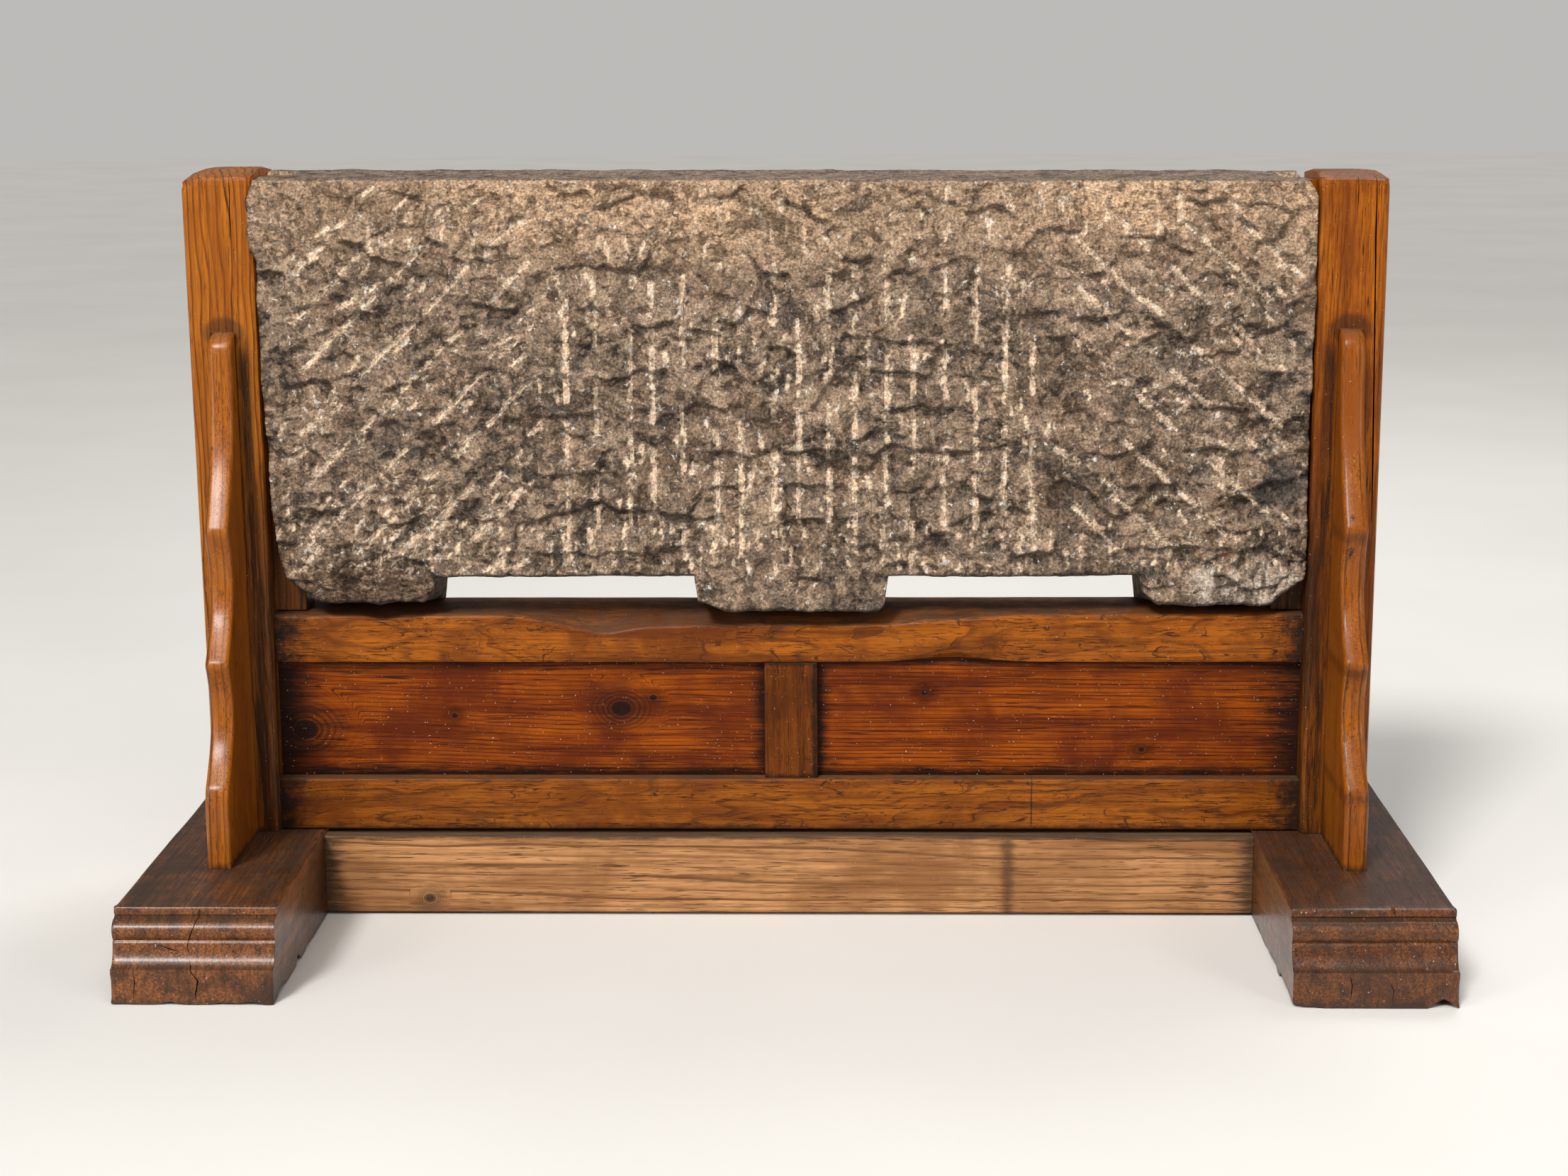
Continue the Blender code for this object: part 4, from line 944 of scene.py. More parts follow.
def ring_field(make, look, along, across, deep):
    """Growth-ring count at each place: distance from a bent, tilted pith, turning round any knots."""
    board = make.join(along, across, deep)
    bend = make.noise(make.stretch(board, look["bend_scale"]), 1.0, 2.0, 0.5)
    finer = tuple(2.3 * scale for scale in look["bend_scale"])
    bend_more = make.noise(make.stretch(board, finer), 1.0, 2.0, 0.5)
    off_across = make.minus(across, look["pith"][0])
    sway = make.swing(bend, look["bend"])
    off_across = make.plus(off_across, sway)
    off_deep = make.minus(deep, look["pith"][1])
    off_deep = make.plus(off_deep, make.times(along, look["tilt"]))
    sway = make.swing(bend_more, look["bend"])
    off_deep = make.plus(off_deep, sway)
    radius = make.length(off_across, off_deep)
    rings = make.math('DIVIDE', radius, look["ring"])
    knots = 0.0
    for knot_along, knot_across, size in look.get("knots", ()):
        out_along = make.times(make.minus(along, knot_along), 0.80)
        away = make.length(out_along, make.minus(across, knot_across))
        away = make.plus(away, make.swing(bend_more, size))
        near = make.step(away, 3.4 * size, 0.9 * size)
        turned = make.math('DIVIDE', away, 0.70 * look["ring"])
        rings = make.times(rings, make.minus(1.0, near))
        rings = make.plus(rings, make.times(turned, near))
        turns = make.math('SINE', make.times(make.math('DIVIDE', away, size), 17.0))
        halo = make.step(away, 3.0 * size, 0.8 * size, 0.0, 0.75)
        halo = make.times(halo, make.step(turns, -0.4, 0.8, 0.35, 1.0))
        core = make.math('MAXIMUM', make.step(away, 0.85 * size, 0.45 * size), halo)
        knots = make.math('MAXIMUM', core, knots)
    return board, rings, knots


def wood_material(name, look):
    """Varnished old wood, its grain worked out from growth rings about a bent, tilted pith."""
    make = Surface(name)
    x, y, z = make.split(make.place)
    along, across, deep = {"X": (x, z, y), "Y": (y, x, z), "Z": (z, x, y)}[look["grain"]]
    board, rings, knots = ring_field(make, look, along, across, deep)
    jitter = make.noise(make.stretch(board, (9.0, 90.0, 90.0)), 1.0, 3.0, 0.6)
    rings = make.plus(rings, make.times(jitter, look["ragged"]))
    saw = make.math('FRACT', rings)
    ring_seed = make.noise(make.join(make.math('FLOOR', rings), 0.0, 0.0), 0.71, 0.0, 0.5)
    late = make.ramp(saw, [(place, (level, level, level)) for place, level in LATE_WOOD])
    late = make.times(late, make.step(ring_seed, 0.30, 0.62, 0.30, 1.0))
    fibre = make.noise(make.stretch(board, (6.0, 380.0, 380.0)), 1.0, 4.0, 0.7)
    pores = make.step(make.noise(make.stretch(board, look["pore_scale"]), 1.0, 2.0, 0.6), 0.565, 0.64)
    pores = make.times(pores, make.step(jitter, 0.35, 0.60, 0.25, 1.0))
    blotch = make.noise(make.place, 9.0, 4.0, 0.6, 0.3)
    streak = make.noise(make.stretch(board, (3.5, 55.0, 55.0)), 1.0, 4.0, 0.65)
    colour = make.mix(make.step(fibre, 0.38, 0.62), look["light"], look["middle"])
    colour = make.mix(make.step(streak, 0.44, 0.66, 0.0, 0.75), colour, look["deep"])
    colour = make.mix(make.times(late, look["contrast"]), colour, look["dark"])
    colour = make.mix(make.times(pores, look["pores"]), colour, look["dark"])
    if look.get("dashes"):
        flow = make.join(along, rings, 0.0)
        dashes = make.noise(make.stretch(flow, (24.0, 6.5, 1.0)), 1.0, 4.0, 0.72)
        dashes = make.times(make.step(dashes, 0.585, 0.64), look["dashes"])
        colour = make.mix(dashes, colour, look["dark"])
    colour = make.mix(make.step(blotch, 0.44, 0.66, 0.0, look["blotch"]), colour, look["deep"])
    if look.get("knots"):
        colour = make.mix(make.times(knots, 0.95), colour, look["dirt_and_shade"])
    # Dirt patches, darkening towards given planes and streaky strips that include painted shadow, mixed
    # in as one dark colour.
    dirt_and_shade = dirt_and_shade_share(make, look, x, y, z)
    colour = make.mix(dirt_and_shade, colour, look["dirt_and_shade"])
    specks = make.step(make.noise(make.place, 430.0, 2.0, 0.5), 0.715, 0.74)
    colour = make.mix(make.times(specks, look["specks"]), colour, (0.62, 0.55, 0.45))
    normal = make.add('ShaderNodeNewGeometry').outputs["Normal"]
    upward = make.step(make.split(normal)[2], 0.55, 0.95)
    cloud = make.noise(make.place, 38.0, 5.0, 0.7)
    dust = make.times(upward, make.step(cloud, 0.30, 0.70, 0.35 * look["dust"], look["dust"]))
    colour = make.mix(dust, colour, look.get("dust_colour", (0.13, 0.088, 0.060)))
    roughness = make.plus(look["roughness"], make.times(dust, 0.35))
    roughness = make.plus(roughness, make.times(dirt_and_shade, 0.25))
    roughness = make.plus(roughness, make.swing(cloud, 0.30))
    height = make.weigh(((late, -0.35), (fibre, 0.5), (pores, -0.6), (blotch, 2.5), (cloud, 0.7)))
    material = make.finish(colour, roughness, height, look["bump"], look["gloss"])
    make.shader.inputs["Coat Weight"].default_value = look["coat"]
    make.shader.inputs["Coat Roughness"].default_value = 0.26
    return material


def dirt_and_shade_share(make, look, x, y, z):
    """How far each place is darkened: in loose patches of old dirt, towards the given planes, along
    streaky strips that include painted shadow, and in a smudge.
    """
    patch = make.noise(make.stretch(make.place, look["patch_scale"]), 1.0, 7.0, 0.78)
    share = make.step(patch, look["patch_from"], look["patch_from"] + 0.06, 0.0, 0.85)
    parts = {"x": x, "y": y, "z": z}
    # Darker towards each given plane, fading out over its reach.
    for axis, place, reach, strength in look["darkened_planes"]:
        away = make.math('ABSOLUTE', make.minus(parts[axis], place))
        away = make.plus(away, make.swing(patch, 2.4 * reach))
        near = make.step(away, reach, 0.0, 0.0, strength)
        share = make.math('MAXIMUM', share, near)
    # Streaky darker strips, one of them the painted shadow cast by a bracket.
    for middle, half, low_z, high_z in look.get("dark_and_shadow_strips", ()):
        away = make.math('ABSOLUTE', make.minus(make.math('ABSOLUTE', x), middle))
        streaks = make.noise(make.stretch(make.place, (95.0, 95.0, 7.0)), 1.0, 5.0, 0.7)
        away = make.plus(away, make.swing(streaks, 2.2 * half))
        streaks = make.step(streaks, 0.40, 0.60, 0.55, 1.0)
        strip = make.times(make.step(away, 1.5 * half, 0.6 * half), streaks)
        strip = make.times(strip, make.step(z, high_z, low_z, 0.0, 0.9))
        share = make.math('MAXIMUM', share, strip)
    if look.get("smudge"):
        side = make.math('ABSOLUTE', x) if look["grain"] == "Z" else make.times(x, -1.0)
        smudge = spot(make, side, z, look["smudge"][:2], look["smudge"][2:], 0.5)
        share = make.math('MAXIMUM', share, make.times(smudge, 0.55))
    return share


def varied(look, changes):
    """A wood like another one, apart from some of its values."""
    return {**look, **changes}


def wood_looks():
    """The woods, with the places where they are darkened taken from the frame."""
    rail_low, rail_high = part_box("lower_rail")
    upper_low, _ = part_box("upper_rail")
    muntin_low, muntin_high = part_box("muntin")
    inner_x = POST_HIGH.x - TONGUE_REACH
    bracket_low, bracket_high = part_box("bracket_front_right")
    honey = {
        "grain": "Z", "bend_scale": (3.2, 13.0, 13.0), "bend": 0.034,
        "pith": (-0.400, 0.04), "tilt": 0.030,
        "ring": 0.0074, "ragged": 0.22, "pore_scale": (34.0, 800.0, 800.0),
        "light": (0.40, 0.128, 0.007), "middle": (0.31, 0.088, 0.004), "deep": (0.20, 0.048, 0.002),
        "dark": (0.034, 0.009, 0.001), "dirt_and_shade": (0.010, 0.005, 0.002),
        "contrast": 0.98, "pores": 0.70, "blotch": 0.45, "specks": 0.35, "dust": 0.5, "roughness": 0.34,
        "coat": 0.10, "gloss": 0.15, "bump": 0.00045,
        "patch_from": 0.66, "patch_scale": (55.0, 55.0, 22.0),
        "darkened_planes": [("z", POST_LOW.z + 0.04, 0.020, 0.9)],
        # Strips: darker and streaky low on the inner edge, and the painted shadow of the bracket on the
        # post beside it.
        "dark_and_shadow_strips": [(abs(inner_x) - 0.010, 0.036, 0.38, 0.60),
                         (bracket_low.x - 0.008, 0.007, 0.655, 0.705)],
        "smudge": ((bracket_low.x + bracket_high.x) / 2, bracket_high.z - 0.002, 0.025, 0.019),
    }
    honey_right = varied(honey, {
        "pith": (0.500, 0.060), "ring": 0.0082, "bend": 0.030, "tilt": 0.050, "contrast": 0.50,
        "pores": 1.0,
        "light": (0.34, 0.095, 0.004), "middle": (0.25, 0.064, 0.003), "deep": (0.13, 0.028, 0.002),
        "gloss": 0.11, "blotch": 0.65,
    })
    bracket = varied(honey, {
        "pith": (4.0, 0.0), "bend": 0.016, "tilt": 0.02, "ring": 0.0085, "contrast": 0.80,
        "bend_scale": (1.4, 6.0, 6.0), "ragged": 0.30,
        "light": (0.33, 0.098, 0.005), "smudge": None, "coat": 0.32,
        "darkened_planes": [("z", 0.101, 0.010, 0.8), ("y", POST_LOW.y, 0.010, 0.6),
                         ("y", POST_HIGH.y, 0.010, 0.6)],
        "dark_and_shadow_strips": [], "patch_from": 0.62, "patch_scale": (70.0, 70.0, 24.0),
    })
    bands = [("z", cusp_z - 0.010, 0.012, 0.4) for cusp_z, _, _ in BRACKET_SCALLOPS]
    bracket_right = varied(bracket, {
        "light": (0.30, 0.088, 0.004), "middle": (0.22, 0.058, 0.003), "blotch": 0.85,
        "coat": 0.24, "darkened_planes": bracket["darkened_planes"] + bands,
    })
    rail = {
        "grain": "X", "bend_scale": (2.4, 8.0, 8.0), "bend": 0.085, "pith": (0.30, 0.06), "tilt": 0.08,
        "ring": 0.0105, "ragged": 0.24, "pore_scale": (48.0, 700.0, 700.0),
        "light": (0.350, 0.100, 0.005), "middle": (0.250, 0.062, 0.002), "deep": (0.098, 0.021, 0.001),
        "dark": (0.032, 0.008, 0.001), "dirt_and_shade": (0.009, 0.005, 0.003),
        "contrast": 0.55, "pores": 1.0, "dashes": 0.85, "blotch": 0.75, "specks": 0.4, "dust": 0.8,
        "roughness": 0.42, "coat": 0.06, "gloss": 0.13, "bump": 0.00045,
        "patch_from": 0.60, "patch_scale": (50.0, 60.0, 60.0),
        "dust_colour": (0.085, 0.050, 0.031),
        "darkened_planes": [("x", inner_x, 0.050, 0.95), ("x", -inner_x, 0.050, 0.95),
                         ("z", rail_low.z, 0.009, 0.7)],
    }
    muntin = varied(rail, {
        "grain": "Z", "bend": 0.020, "pith": (0.10, 0.05), "ring": 0.0110, "contrast": 0.35,
        "pores": 0.8,
        "light": (0.160, 0.040, 0.003), "middle": (0.105, 0.025, 0.002), "deep": (0.055, 0.013, 0.001),
        "gloss": 0.08, "dashes": 0.3,
        "darkened_planes": [("x", muntin_high.x - 0.003, 0.006, 0.9), ("z", rail_high.z, 0.008, 0.8),
                         ("z", upper_low.z, 0.006, 0.8)],
    })
    panel_left = {
        "grain": "X", "bend_scale": (1.3, 8.0, 8.0), "bend": 0.034, "pith": (0.42, 0.02), "tilt": 0.03,
        "ring": 0.0052, "ragged": 0.30, "pore_scale": (16.0, 420.0, 420.0),
        "light": (0.310, 0.066, 0.001), "middle": (0.205, 0.037, 0.001), "deep": (0.076, 0.010, 0.001),
        "dark": (0.026, 0.004, 0.001), "dirt_and_shade": (0.008, 0.003, 0.002),
        "contrast": 0.90, "pores": 0.9, "blotch": 0.8, "specks": 0.70, "dust": 0.1, "roughness": 0.40,
        "dashes": 0.8, "coat": 0.05, "gloss": 0.08, "bump": 0.0004, "patch_from": 0.70,
        "patch_scale": (14.0, 90.0, 90.0),
        "knots": [(-0.196, 0.243, 0.0135), (-0.572, 0.218, 0.0170), (-0.158, 0.257, 0.0042),
                  (-0.394, 0.235, 0.0042)],
        "darkened_planes": [("x", inner_x, 0.068, 0.95), ("x", muntin_low.x, 0.020, 0.9),
                         ("z", rail_high.z, 0.018, 0.95), ("z", upper_low.z, 0.010, 0.9)],
    }
    panel_right = varied(panel_left, {
        "pith": (0.60, 0.10), "bend": 0.012, "ring": 0.0046, "contrast": 0.95,
        "knots": [(0.162, 0.263, 0.0042), (0.418, 0.194, 0.0042)],
        "darkened_planes": [("x", -inner_x, 0.070, 0.95), ("x", muntin_high.x, 0.018, 0.9),
                         ("z", rail_high.z, 0.018, 0.95), ("z", upper_low.z, 0.010, 0.9)],
    })
    pale = {
        "smudge": (0.314, 0.0616, 0.080, 0.0017),
        "grain": "X", "bend_scale": (1.2, 8.0, 8.0), "bend": 0.022, "pith": (0.24, 0.05), "tilt": 0.03,
        "ring": 0.0092, "ragged": 0.34, "pore_scale": (26.0, 520.0, 520.0),
        "light": (0.500, 0.250, 0.104), "middle": (0.355, 0.162, 0.058), "deep": (0.185, 0.074, 0.024),
        "dark": (0.085, 0.036, 0.014), "dirt_and_shade": (0.028, 0.017, 0.010),
        "contrast": 0.95, "pores": 1.0, "blotch": 0.60, "specks": 0.25, "dust": 0.4, "roughness": 0.62,
        "coat": 0.0, "gloss": 0.18, "bump": 0.0005,
        "patch_from": 0.68, "patch_scale": (14.0, 110.0, 110.0),
        "knots": [(-0.425, 0.020, 0.0062)],
        "darkened_planes": [("x", -0.548, 0.030, 0.85), ("x", 0.548, 0.030, 0.85),
                         ("z", 0.0965, 0.006, 0.8), ("x", 0.260, 0.0120, 0.62)],
    }
    dark = {
        "grain": "Y", "bend_scale": (2.2, 12.0, 12.0), "bend": 0.050,
        "pith": (0.60, -0.01), "tilt": 0.08,
        "ring": 0.0100, "ragged": 0.45, "pore_scale": (40.0, 500.0, 500.0),
        "light": (0.250, 0.082, 0.016), "middle": (0.110, 0.033, 0.007), "deep": (0.032, 0.010, 0.003),
        "dark": (0.016, 0.006, 0.002), "dirt_and_shade": (0.012, 0.008, 0.006),
        "contrast": 0.45, "pores": 0.75, "blotch": 0.85, "specks": 0.7, "dust": 0.85, "roughness": 0.36,
        "coat": 0.40, "gloss": 0.26, "bump": 0.0006,
        "patch_from": 0.62, "patch_scale": (36.0, 26.0, 36.0),
        "dust_colour": (0.040, 0.023, 0.015), "darkened_planes": [("z", 0.0, 0.010, 0.6)],
    }
    joined = varied(rail, {
        "pith": (0.05, 0.06), "light": (0.290, 0.086, 0.005), "middle": (0.205, 0.052, 0.002),
        "darkened_planes": rail["darkened_planes"] + [("x", 0.288, 0.0016, 0.8)],
    })
    dark_right = varied(dark, {
        "light": (0.170, 0.052, 0.010), "middle": (0.070, 0.021, 0.005), "contrast": 0.5,
    })
    return {
        "honey_left": honey, "honey_right": honey_right,
        "bracket_left": bracket, "bracket_right": bracket_right,
        "rail": rail, "joined": joined, "muntin": muntin,
        "panel_left": panel_left, "panel_right": panel_right, "pale": pale,
        "dark_left": dark, "dark_right": dark_right,
    }


# Wooden pieces

def put(name, places, faces, material, node):
    """A new piece from places and faces, standing for a CAD node."""
    mesh = bpy.data.meshes.new(name)
    mesh.from_pydata([tuple(place) for place in np.asarray(places).tolist()], [],
                     [tuple(int(number) for number in face) for face in faces])
    bm = bmesh.new()
    bm.from_mesh(mesh)
    bmesh.ops.recalc_face_normals(bm, faces=bm.faces)
    if bm.calc_volume(signed=True) < 0:
        bmesh.ops.reverse_faces(bm, faces=bm.faces)
    bm.to_mesh(mesh)
    bm.free()
    mesh.shade_smooth()
    mesh.set_sharp_from_angle(angle=math.radians(38))
    mesh.materials.append(material)
    piece = add_object(name, mesh)
    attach(piece, "root")
    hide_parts(node)
    return piece


def even_line(points, step):
    """Points at even spacing along a run of points."""
    points = np.asarray(points, dtype=float)
    gaps = np.hypot(*np.diff(points, axis=0).T)
    far = np.concatenate(([0.0], np.cumsum(gaps)))
    wanted = np.linspace(0.0, far[-1], max(2, round(far[-1] / step) + 1))
    return np.column_stack([np.interp(wanted, far, points[:, axis]) for axis in (0, 1)])


def soften(points, rounds):
    """A run of points with its corners worn round, its two ends kept."""
    points = np.array(points, dtype=float)
    for _ in range(rounds):
        points[1:-1] = 0.25 * points[:-2] + 0.5 * points[1:-1] + 0.25 * points[2:]
    return points


def outward_normals(outline):
    """Unit normals of a closed anticlockwise outline."""
    after, before = np.roll(outline, -1, axis=0), np.roll(outline, 1, axis=0)
    normal = np.column_stack((after[:, 1] - before[:, 1], before[:, 0] - after[:, 0]))
    return normal / np.linalg.norm(normal, axis=1)[:, None]


def worn(places, amount, seed, scale=14.0):
    """Places moved about a little, as in hand-worked and worn wood."""
    moved = np.array(places, dtype=float)
    x, y, z = moved.T * scale
    for axis in range(3):
        moved[:, axis] += amount * layered_noise(x, y, z, seed=seed + 10 * axis, layers=2)
    return moved


def side_faces(sections, count):
    """The faces between rings of equally many points, one ring after another."""
    faces = []
    for section in range(sections - 1):
        for index in range(count):
            following = (index + 1) % count
            low, high = section * count, (section + 1) * count
            faces.append((low + index, low + following, high + following, high + index))
    return faces


def rounded_prism(outline, exposed, low_x, high_x, radius, station_step, steps=4):
    """Places and faces of a prism along X over a (y, z) outline, with rounded end edges.

    exposed holds 1 for each outline point whose end edges are rounded and 0 where they stay sharp.
    """
    normals = -outward_normals(outline)
    inward = normals * np.asarray(exposed)[:, None]
    cap_margin = CAP_MARGIN * np.maximum(exposed, 0.25)[:, None]
    turns = [math.pi / 2 * step / steps for step in range(steps + 1)]
    sections = [(low_x + radius * (1 - math.cos(turn)), radius * (1 - math.sin(turn))) for turn in turns]
    stations = max(1, round((high_x - low_x - 2 * radius) / station_step))
    for station in range(1, stations):
        sections.append((low_x + radius + (high_x - low_x - 2 * radius) * station / stations, 0.0))
    sections += [(low_x + high_x - x, inset) for x, inset in reversed(sections[:steps + 1])]
    places = []
    count = len(outline)
    for x, inset in sections:
        ring = outline + inward * inset
        places.append(np.column_stack((np.full(count, x), ring)))
    for x, place in ((low_x, 0), (high_x, len(places) + 1)):
        ring = outline + inward * radius + normals * cap_margin
        places.insert(place, np.column_stack((np.full(count, x), ring)))
    sections = places
    faces = side_faces(len(sections), count)
    faces.append(tuple(range(count))[::-1])
    faces.append(tuple(range((len(sections) - 1) * count, len(sections) * count)))
    return np.concatenate(places), faces


def bracket_outline(seat_z, top_z):
    """Side outline of a bracket as (reach from the post, z), anticlockwise, cusps worn round."""
    shoulder_z = top_z - BRACKET_SHOULDER_DROP
    front = []
    for step in range(9):
        turn = math.pi / 2 * step / 8
        front.append((BRACKET_SHOULDER_REACH * math.sin(turn),
                      shoulder_z + BRACKET_SHOULDER_DROP * math.cos(turn)))
    start_z, start_reach = shoulder_z, BRACKET_SHOULDER_REACH
    for cusp_z, cusp_reach, hollow in BRACKET_SCALLOPS:
        for step in range(1, 25):
            share = step / 24
            reach = start_reach + (cusp_reach - start_reach) * share - hollow * math.sin(math.pi * share)
            front.append((reach, start_z + (cusp_z - start_z) * share))
        start_z, start_reach = cusp_z, cusp_reach
    front.append((BRACKET_FOOT_REACH, start_z - (BRACKET_FOOT_REACH - start_reach) * 4))
    front.append((BRACKET_FOOT_REACH, seat_z))
    front = soften(even_line(front, 0.003), 3)
    return front


def make_bracket(name, node, front, material):
    """A scalloped bracket with softly rounded edges; front is -1 before the post, +1 behind it."""
    low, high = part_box(node)
    post_y = high.y if front < 0 else low.y
    line = bracket_outline(low.z, high.z)
    back = even_line([(0.0, low.z), (0.0, high.z)], 0.012)[:-1]
    outline = np.concatenate((line[::-1], back[::-1]))
    exposed = np.concatenate((np.ones(len(line)), np.zeros(len(back))))
    exposed[outline[:, 1] < low.z + 0.002] = 0.0
    flat = np.column_stack((post_y + front * outline[:, 0], outline[:, 1]))
    if front < 0:
        flat, exposed = flat[::-1], exposed[::-1]
    places, faces = rounded_prism(flat, exposed, low.x, high.x, BRACKET_ROUND,
                                  BRACKET_STATION_STEP)
    moved = worn(places, 0.0007, 201 + len(name))
    moved[:, 0] = np.clip(moved[:, 0], low.x, high.x)
    free = smooth_step(0.0, 0.02, np.abs(places[:, 1] - post_y))
    free = free * smooth_step(0.0, 0.02, places[:, 2] - low.z)
    free = free * smooth_step(0.0, 0.002, np.minimum(places[:, 0] - low.x, high.x - places[:, 0]))
    places = places + (moved - places) * free[:, None]
    return put(name, places, faces, material, node)


def foot_profile():
    """Half the side outline of a foot, from the floor up its moulded end, as (reach, z)."""
    _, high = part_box("foot_left")
    top_reach = high.y - FOOT_BASE_LEAN - FOOT_COVE_OUT - FOOT_BEAD_OUT
    fillet_z = high.z - FOOT_FILLET_HEIGHT
    bead_low_z = fillet_z - FOOT_BEAD_HEIGHT
    cove_foot_z = bead_low_z - FOOT_COVE_HEIGHT
    cove_reach = top_reach + FOOT_BEAD_OUT + FOOT_COVE_OUT
    base = [(cove_reach + FOOT_BASE_LEAN, 0.0), (cove_reach, cove_foot_z)]
    curve = []
    for step in range(1, 21):
        turn = math.pi / 2 * step / 20
        curve.append((cove_reach - FOOT_COVE_OUT * math.sin(turn) - FOOT_QUIRK * step / 20,
                      cove_foot_z + FOOT_COVE_HEIGHT * (1 - math.cos(turn))))
    for step in range(21):
        turn = math.radians(-50 + 140 * step / 20)
        curve.append((top_reach + FOOT_BEAD_OUT * math.cos(turn),
                      bead_low_z + FOOT_BEAD_HEIGHT * (0.42 + 0.52 * math.sin(turn))))
    moulding = soften(even_line(base[1:] + curve + [(top_reach - FOOT_QUIRK, fillet_z)], 0.0016), 2)
    head = [(top_reach, fillet_z + FOOT_QUIRK), (top_reach, high.z - 0.003),
            (top_reach - 0.0012, high.z - 0.0010), (top_reach - 0.004, high.z)]
    lower = even_line([base[0], base[1]], 0.006)[:-1]
    return np.concatenate((lower, moulding, head))


def make_foot(name, node, seed, front_wear, material):
    """A shoe block with its moulded ends, worn along every edge."""
    low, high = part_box(node)
    half = foot_profile()
    top = even_line([(half[-1, 0], high.z), (-half[-1, 0], high.z)], 0.010)[1:-1]
    bottom = even_line([(-half[0, 0], 0.0), (half[0, 0], 0.0)], 0.010)[1:-1]
    mirrored = half[::-1] * np.array((-1.0, 1.0))
    outline = np.concatenate((half, top, mirrored, bottom))
    exposed = np.where(outline[:, 1] < 0.001, 0.3, 1.0)
    exposed[(np.abs(outline[:, 0]) > 0.330) & (outline[:, 1] > 0.030)] = 0.22
    places, faces = rounded_prism(outline, exposed, low.x, high.x, FOOT_ROUND,
                                  FOOT_STATION_STEP)
    moved = worn(places, 0.0010, seed, 11.0)
    free = smooth_step(0.0, 0.012, places[:, 2])
    free = free * smooth_step(0.0, 0.002, np.minimum(places[:, 0] - low.x, high.x - places[:, 0]))
    places = places + (moved - places) * free[:, None]
    x, y, z = places.T
    inner_x = low.x if abs(low.x) < abs(high.x) else high.x
    beside = smooth_step(0.030, 0.0, np.abs(x - inner_x)) * smooth_step(0.10, 0.20, np.abs(y))
    ahead = smooth_step(0.325, 0.365, -y) * front_wear
    chips = np.clip(layered_noise(x * 38, y * 38, seed=seed + 5) + 0.15, 0.0, 1.0)
    lift = 0.015 * chips * np.maximum(0.8 * beside, ahead)
    places[:, 2] = z + lift * smooth_step(0.030, 0.0, z)
    places[:, 1] = y + np.where(y < 0, 1.0, -1.0) * 0.5 * lift * smooth_step(0.022, 0.0, z) * ahead
    places[:, 2] = np.clip(places[:, 2], 0.0, high.z + 0.0002)
    return put(name, places, faces, material, node)


def make_post(name, node, side, material):
    """A copy of an upright with a worn head, the right one lower and the left one rounder."""
    post = add_object(name, NODES[node].data.copy())
    worn_down, rounding, spread = POST_HEAD_WEAR[side]
    bm = bmesh.new()
    bm.from_mesh(post.data)
    for cut in range(1, POST_HEAD_CUTS + 1):
        away = POST_INNER_X + cut * POST_HEAD_CUT_STEP
        place = math.copysign(away, post.data.vertices[0].co.x)
        bmesh.ops.bisect_plane(bm, geom=bm.verts[:] + bm.edges[:] + bm.faces[:],
                               plane_co=(place, 0.0, 0.0), plane_no=(1.0, 0.0, 0.0))
    for vert in bm.verts:
        if vert.co.z > POST_HIGH.z - POST_HEAD_HEIGHT:
            outward = max(0.0, abs(vert.co.x) - POST_HEAD_SHOULDER_X) / POST_HEAD_SHOULDER_WIDTH
            vert.co.z -= worn_down + rounding * outward ** 2.5
            vert.co.x += math.copysign(spread * outward, vert.co.x)
    bm.to_mesh(post.data)
    bm.free()
    post.data.materials.clear()
    post.data.materials.append(material)
    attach(post, "root")
    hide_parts(node)
    return post


def cut_cracks(piece, cracks):
    """Cut thin cracks into a piece's front; each is (width, front y, deep y, points (x, z))."""
    bm = bmesh.new()
    for width, front_y, deep_y, points in cracks:
        rings = []
        for index, (x, z) in enumerate(points):
            before = points[max(0, index - 1)]
            after = points[min(len(points) - 1, index + 1)]
            run = Vector((after[0] - before[0], after[1] - before[1])).normalized()
            taper = 0.25 if index in (0, len(points) - 1) else 1.0
            half = 0.5 * width * taper
            corners = ((-half, front_y), (half, front_y), (0.3 * half, deep_y), (-0.3 * half, deep_y))
            rings.append([bm.verts.new((x + run.y * across, y, z - run.x * across))
                          for across, y in corners])
        for first, second in zip(rings, rings[1:]):
            for corner in range(4):
                following = (corner + 1) % 4
                bm.faces.new((first[corner], first[following], second[following], second[corner]))
        bm.faces.new(rings[0][::-1])
        bm.faces.new(rings[-1])
    bmesh.ops.recalc_face_normals(bm, faces=bm.faces)
    mesh = bpy.data.meshes.new("crack_cutter")
    bm.to_mesh(mesh)
    bm.free()
    subtract(piece, mesh, solve_folds=True)


def bump_at(centre, spread, x):
    """A smooth hump round a place, 1 at its middle."""
    return np.exp(-((x - centre) / spread) ** 2)


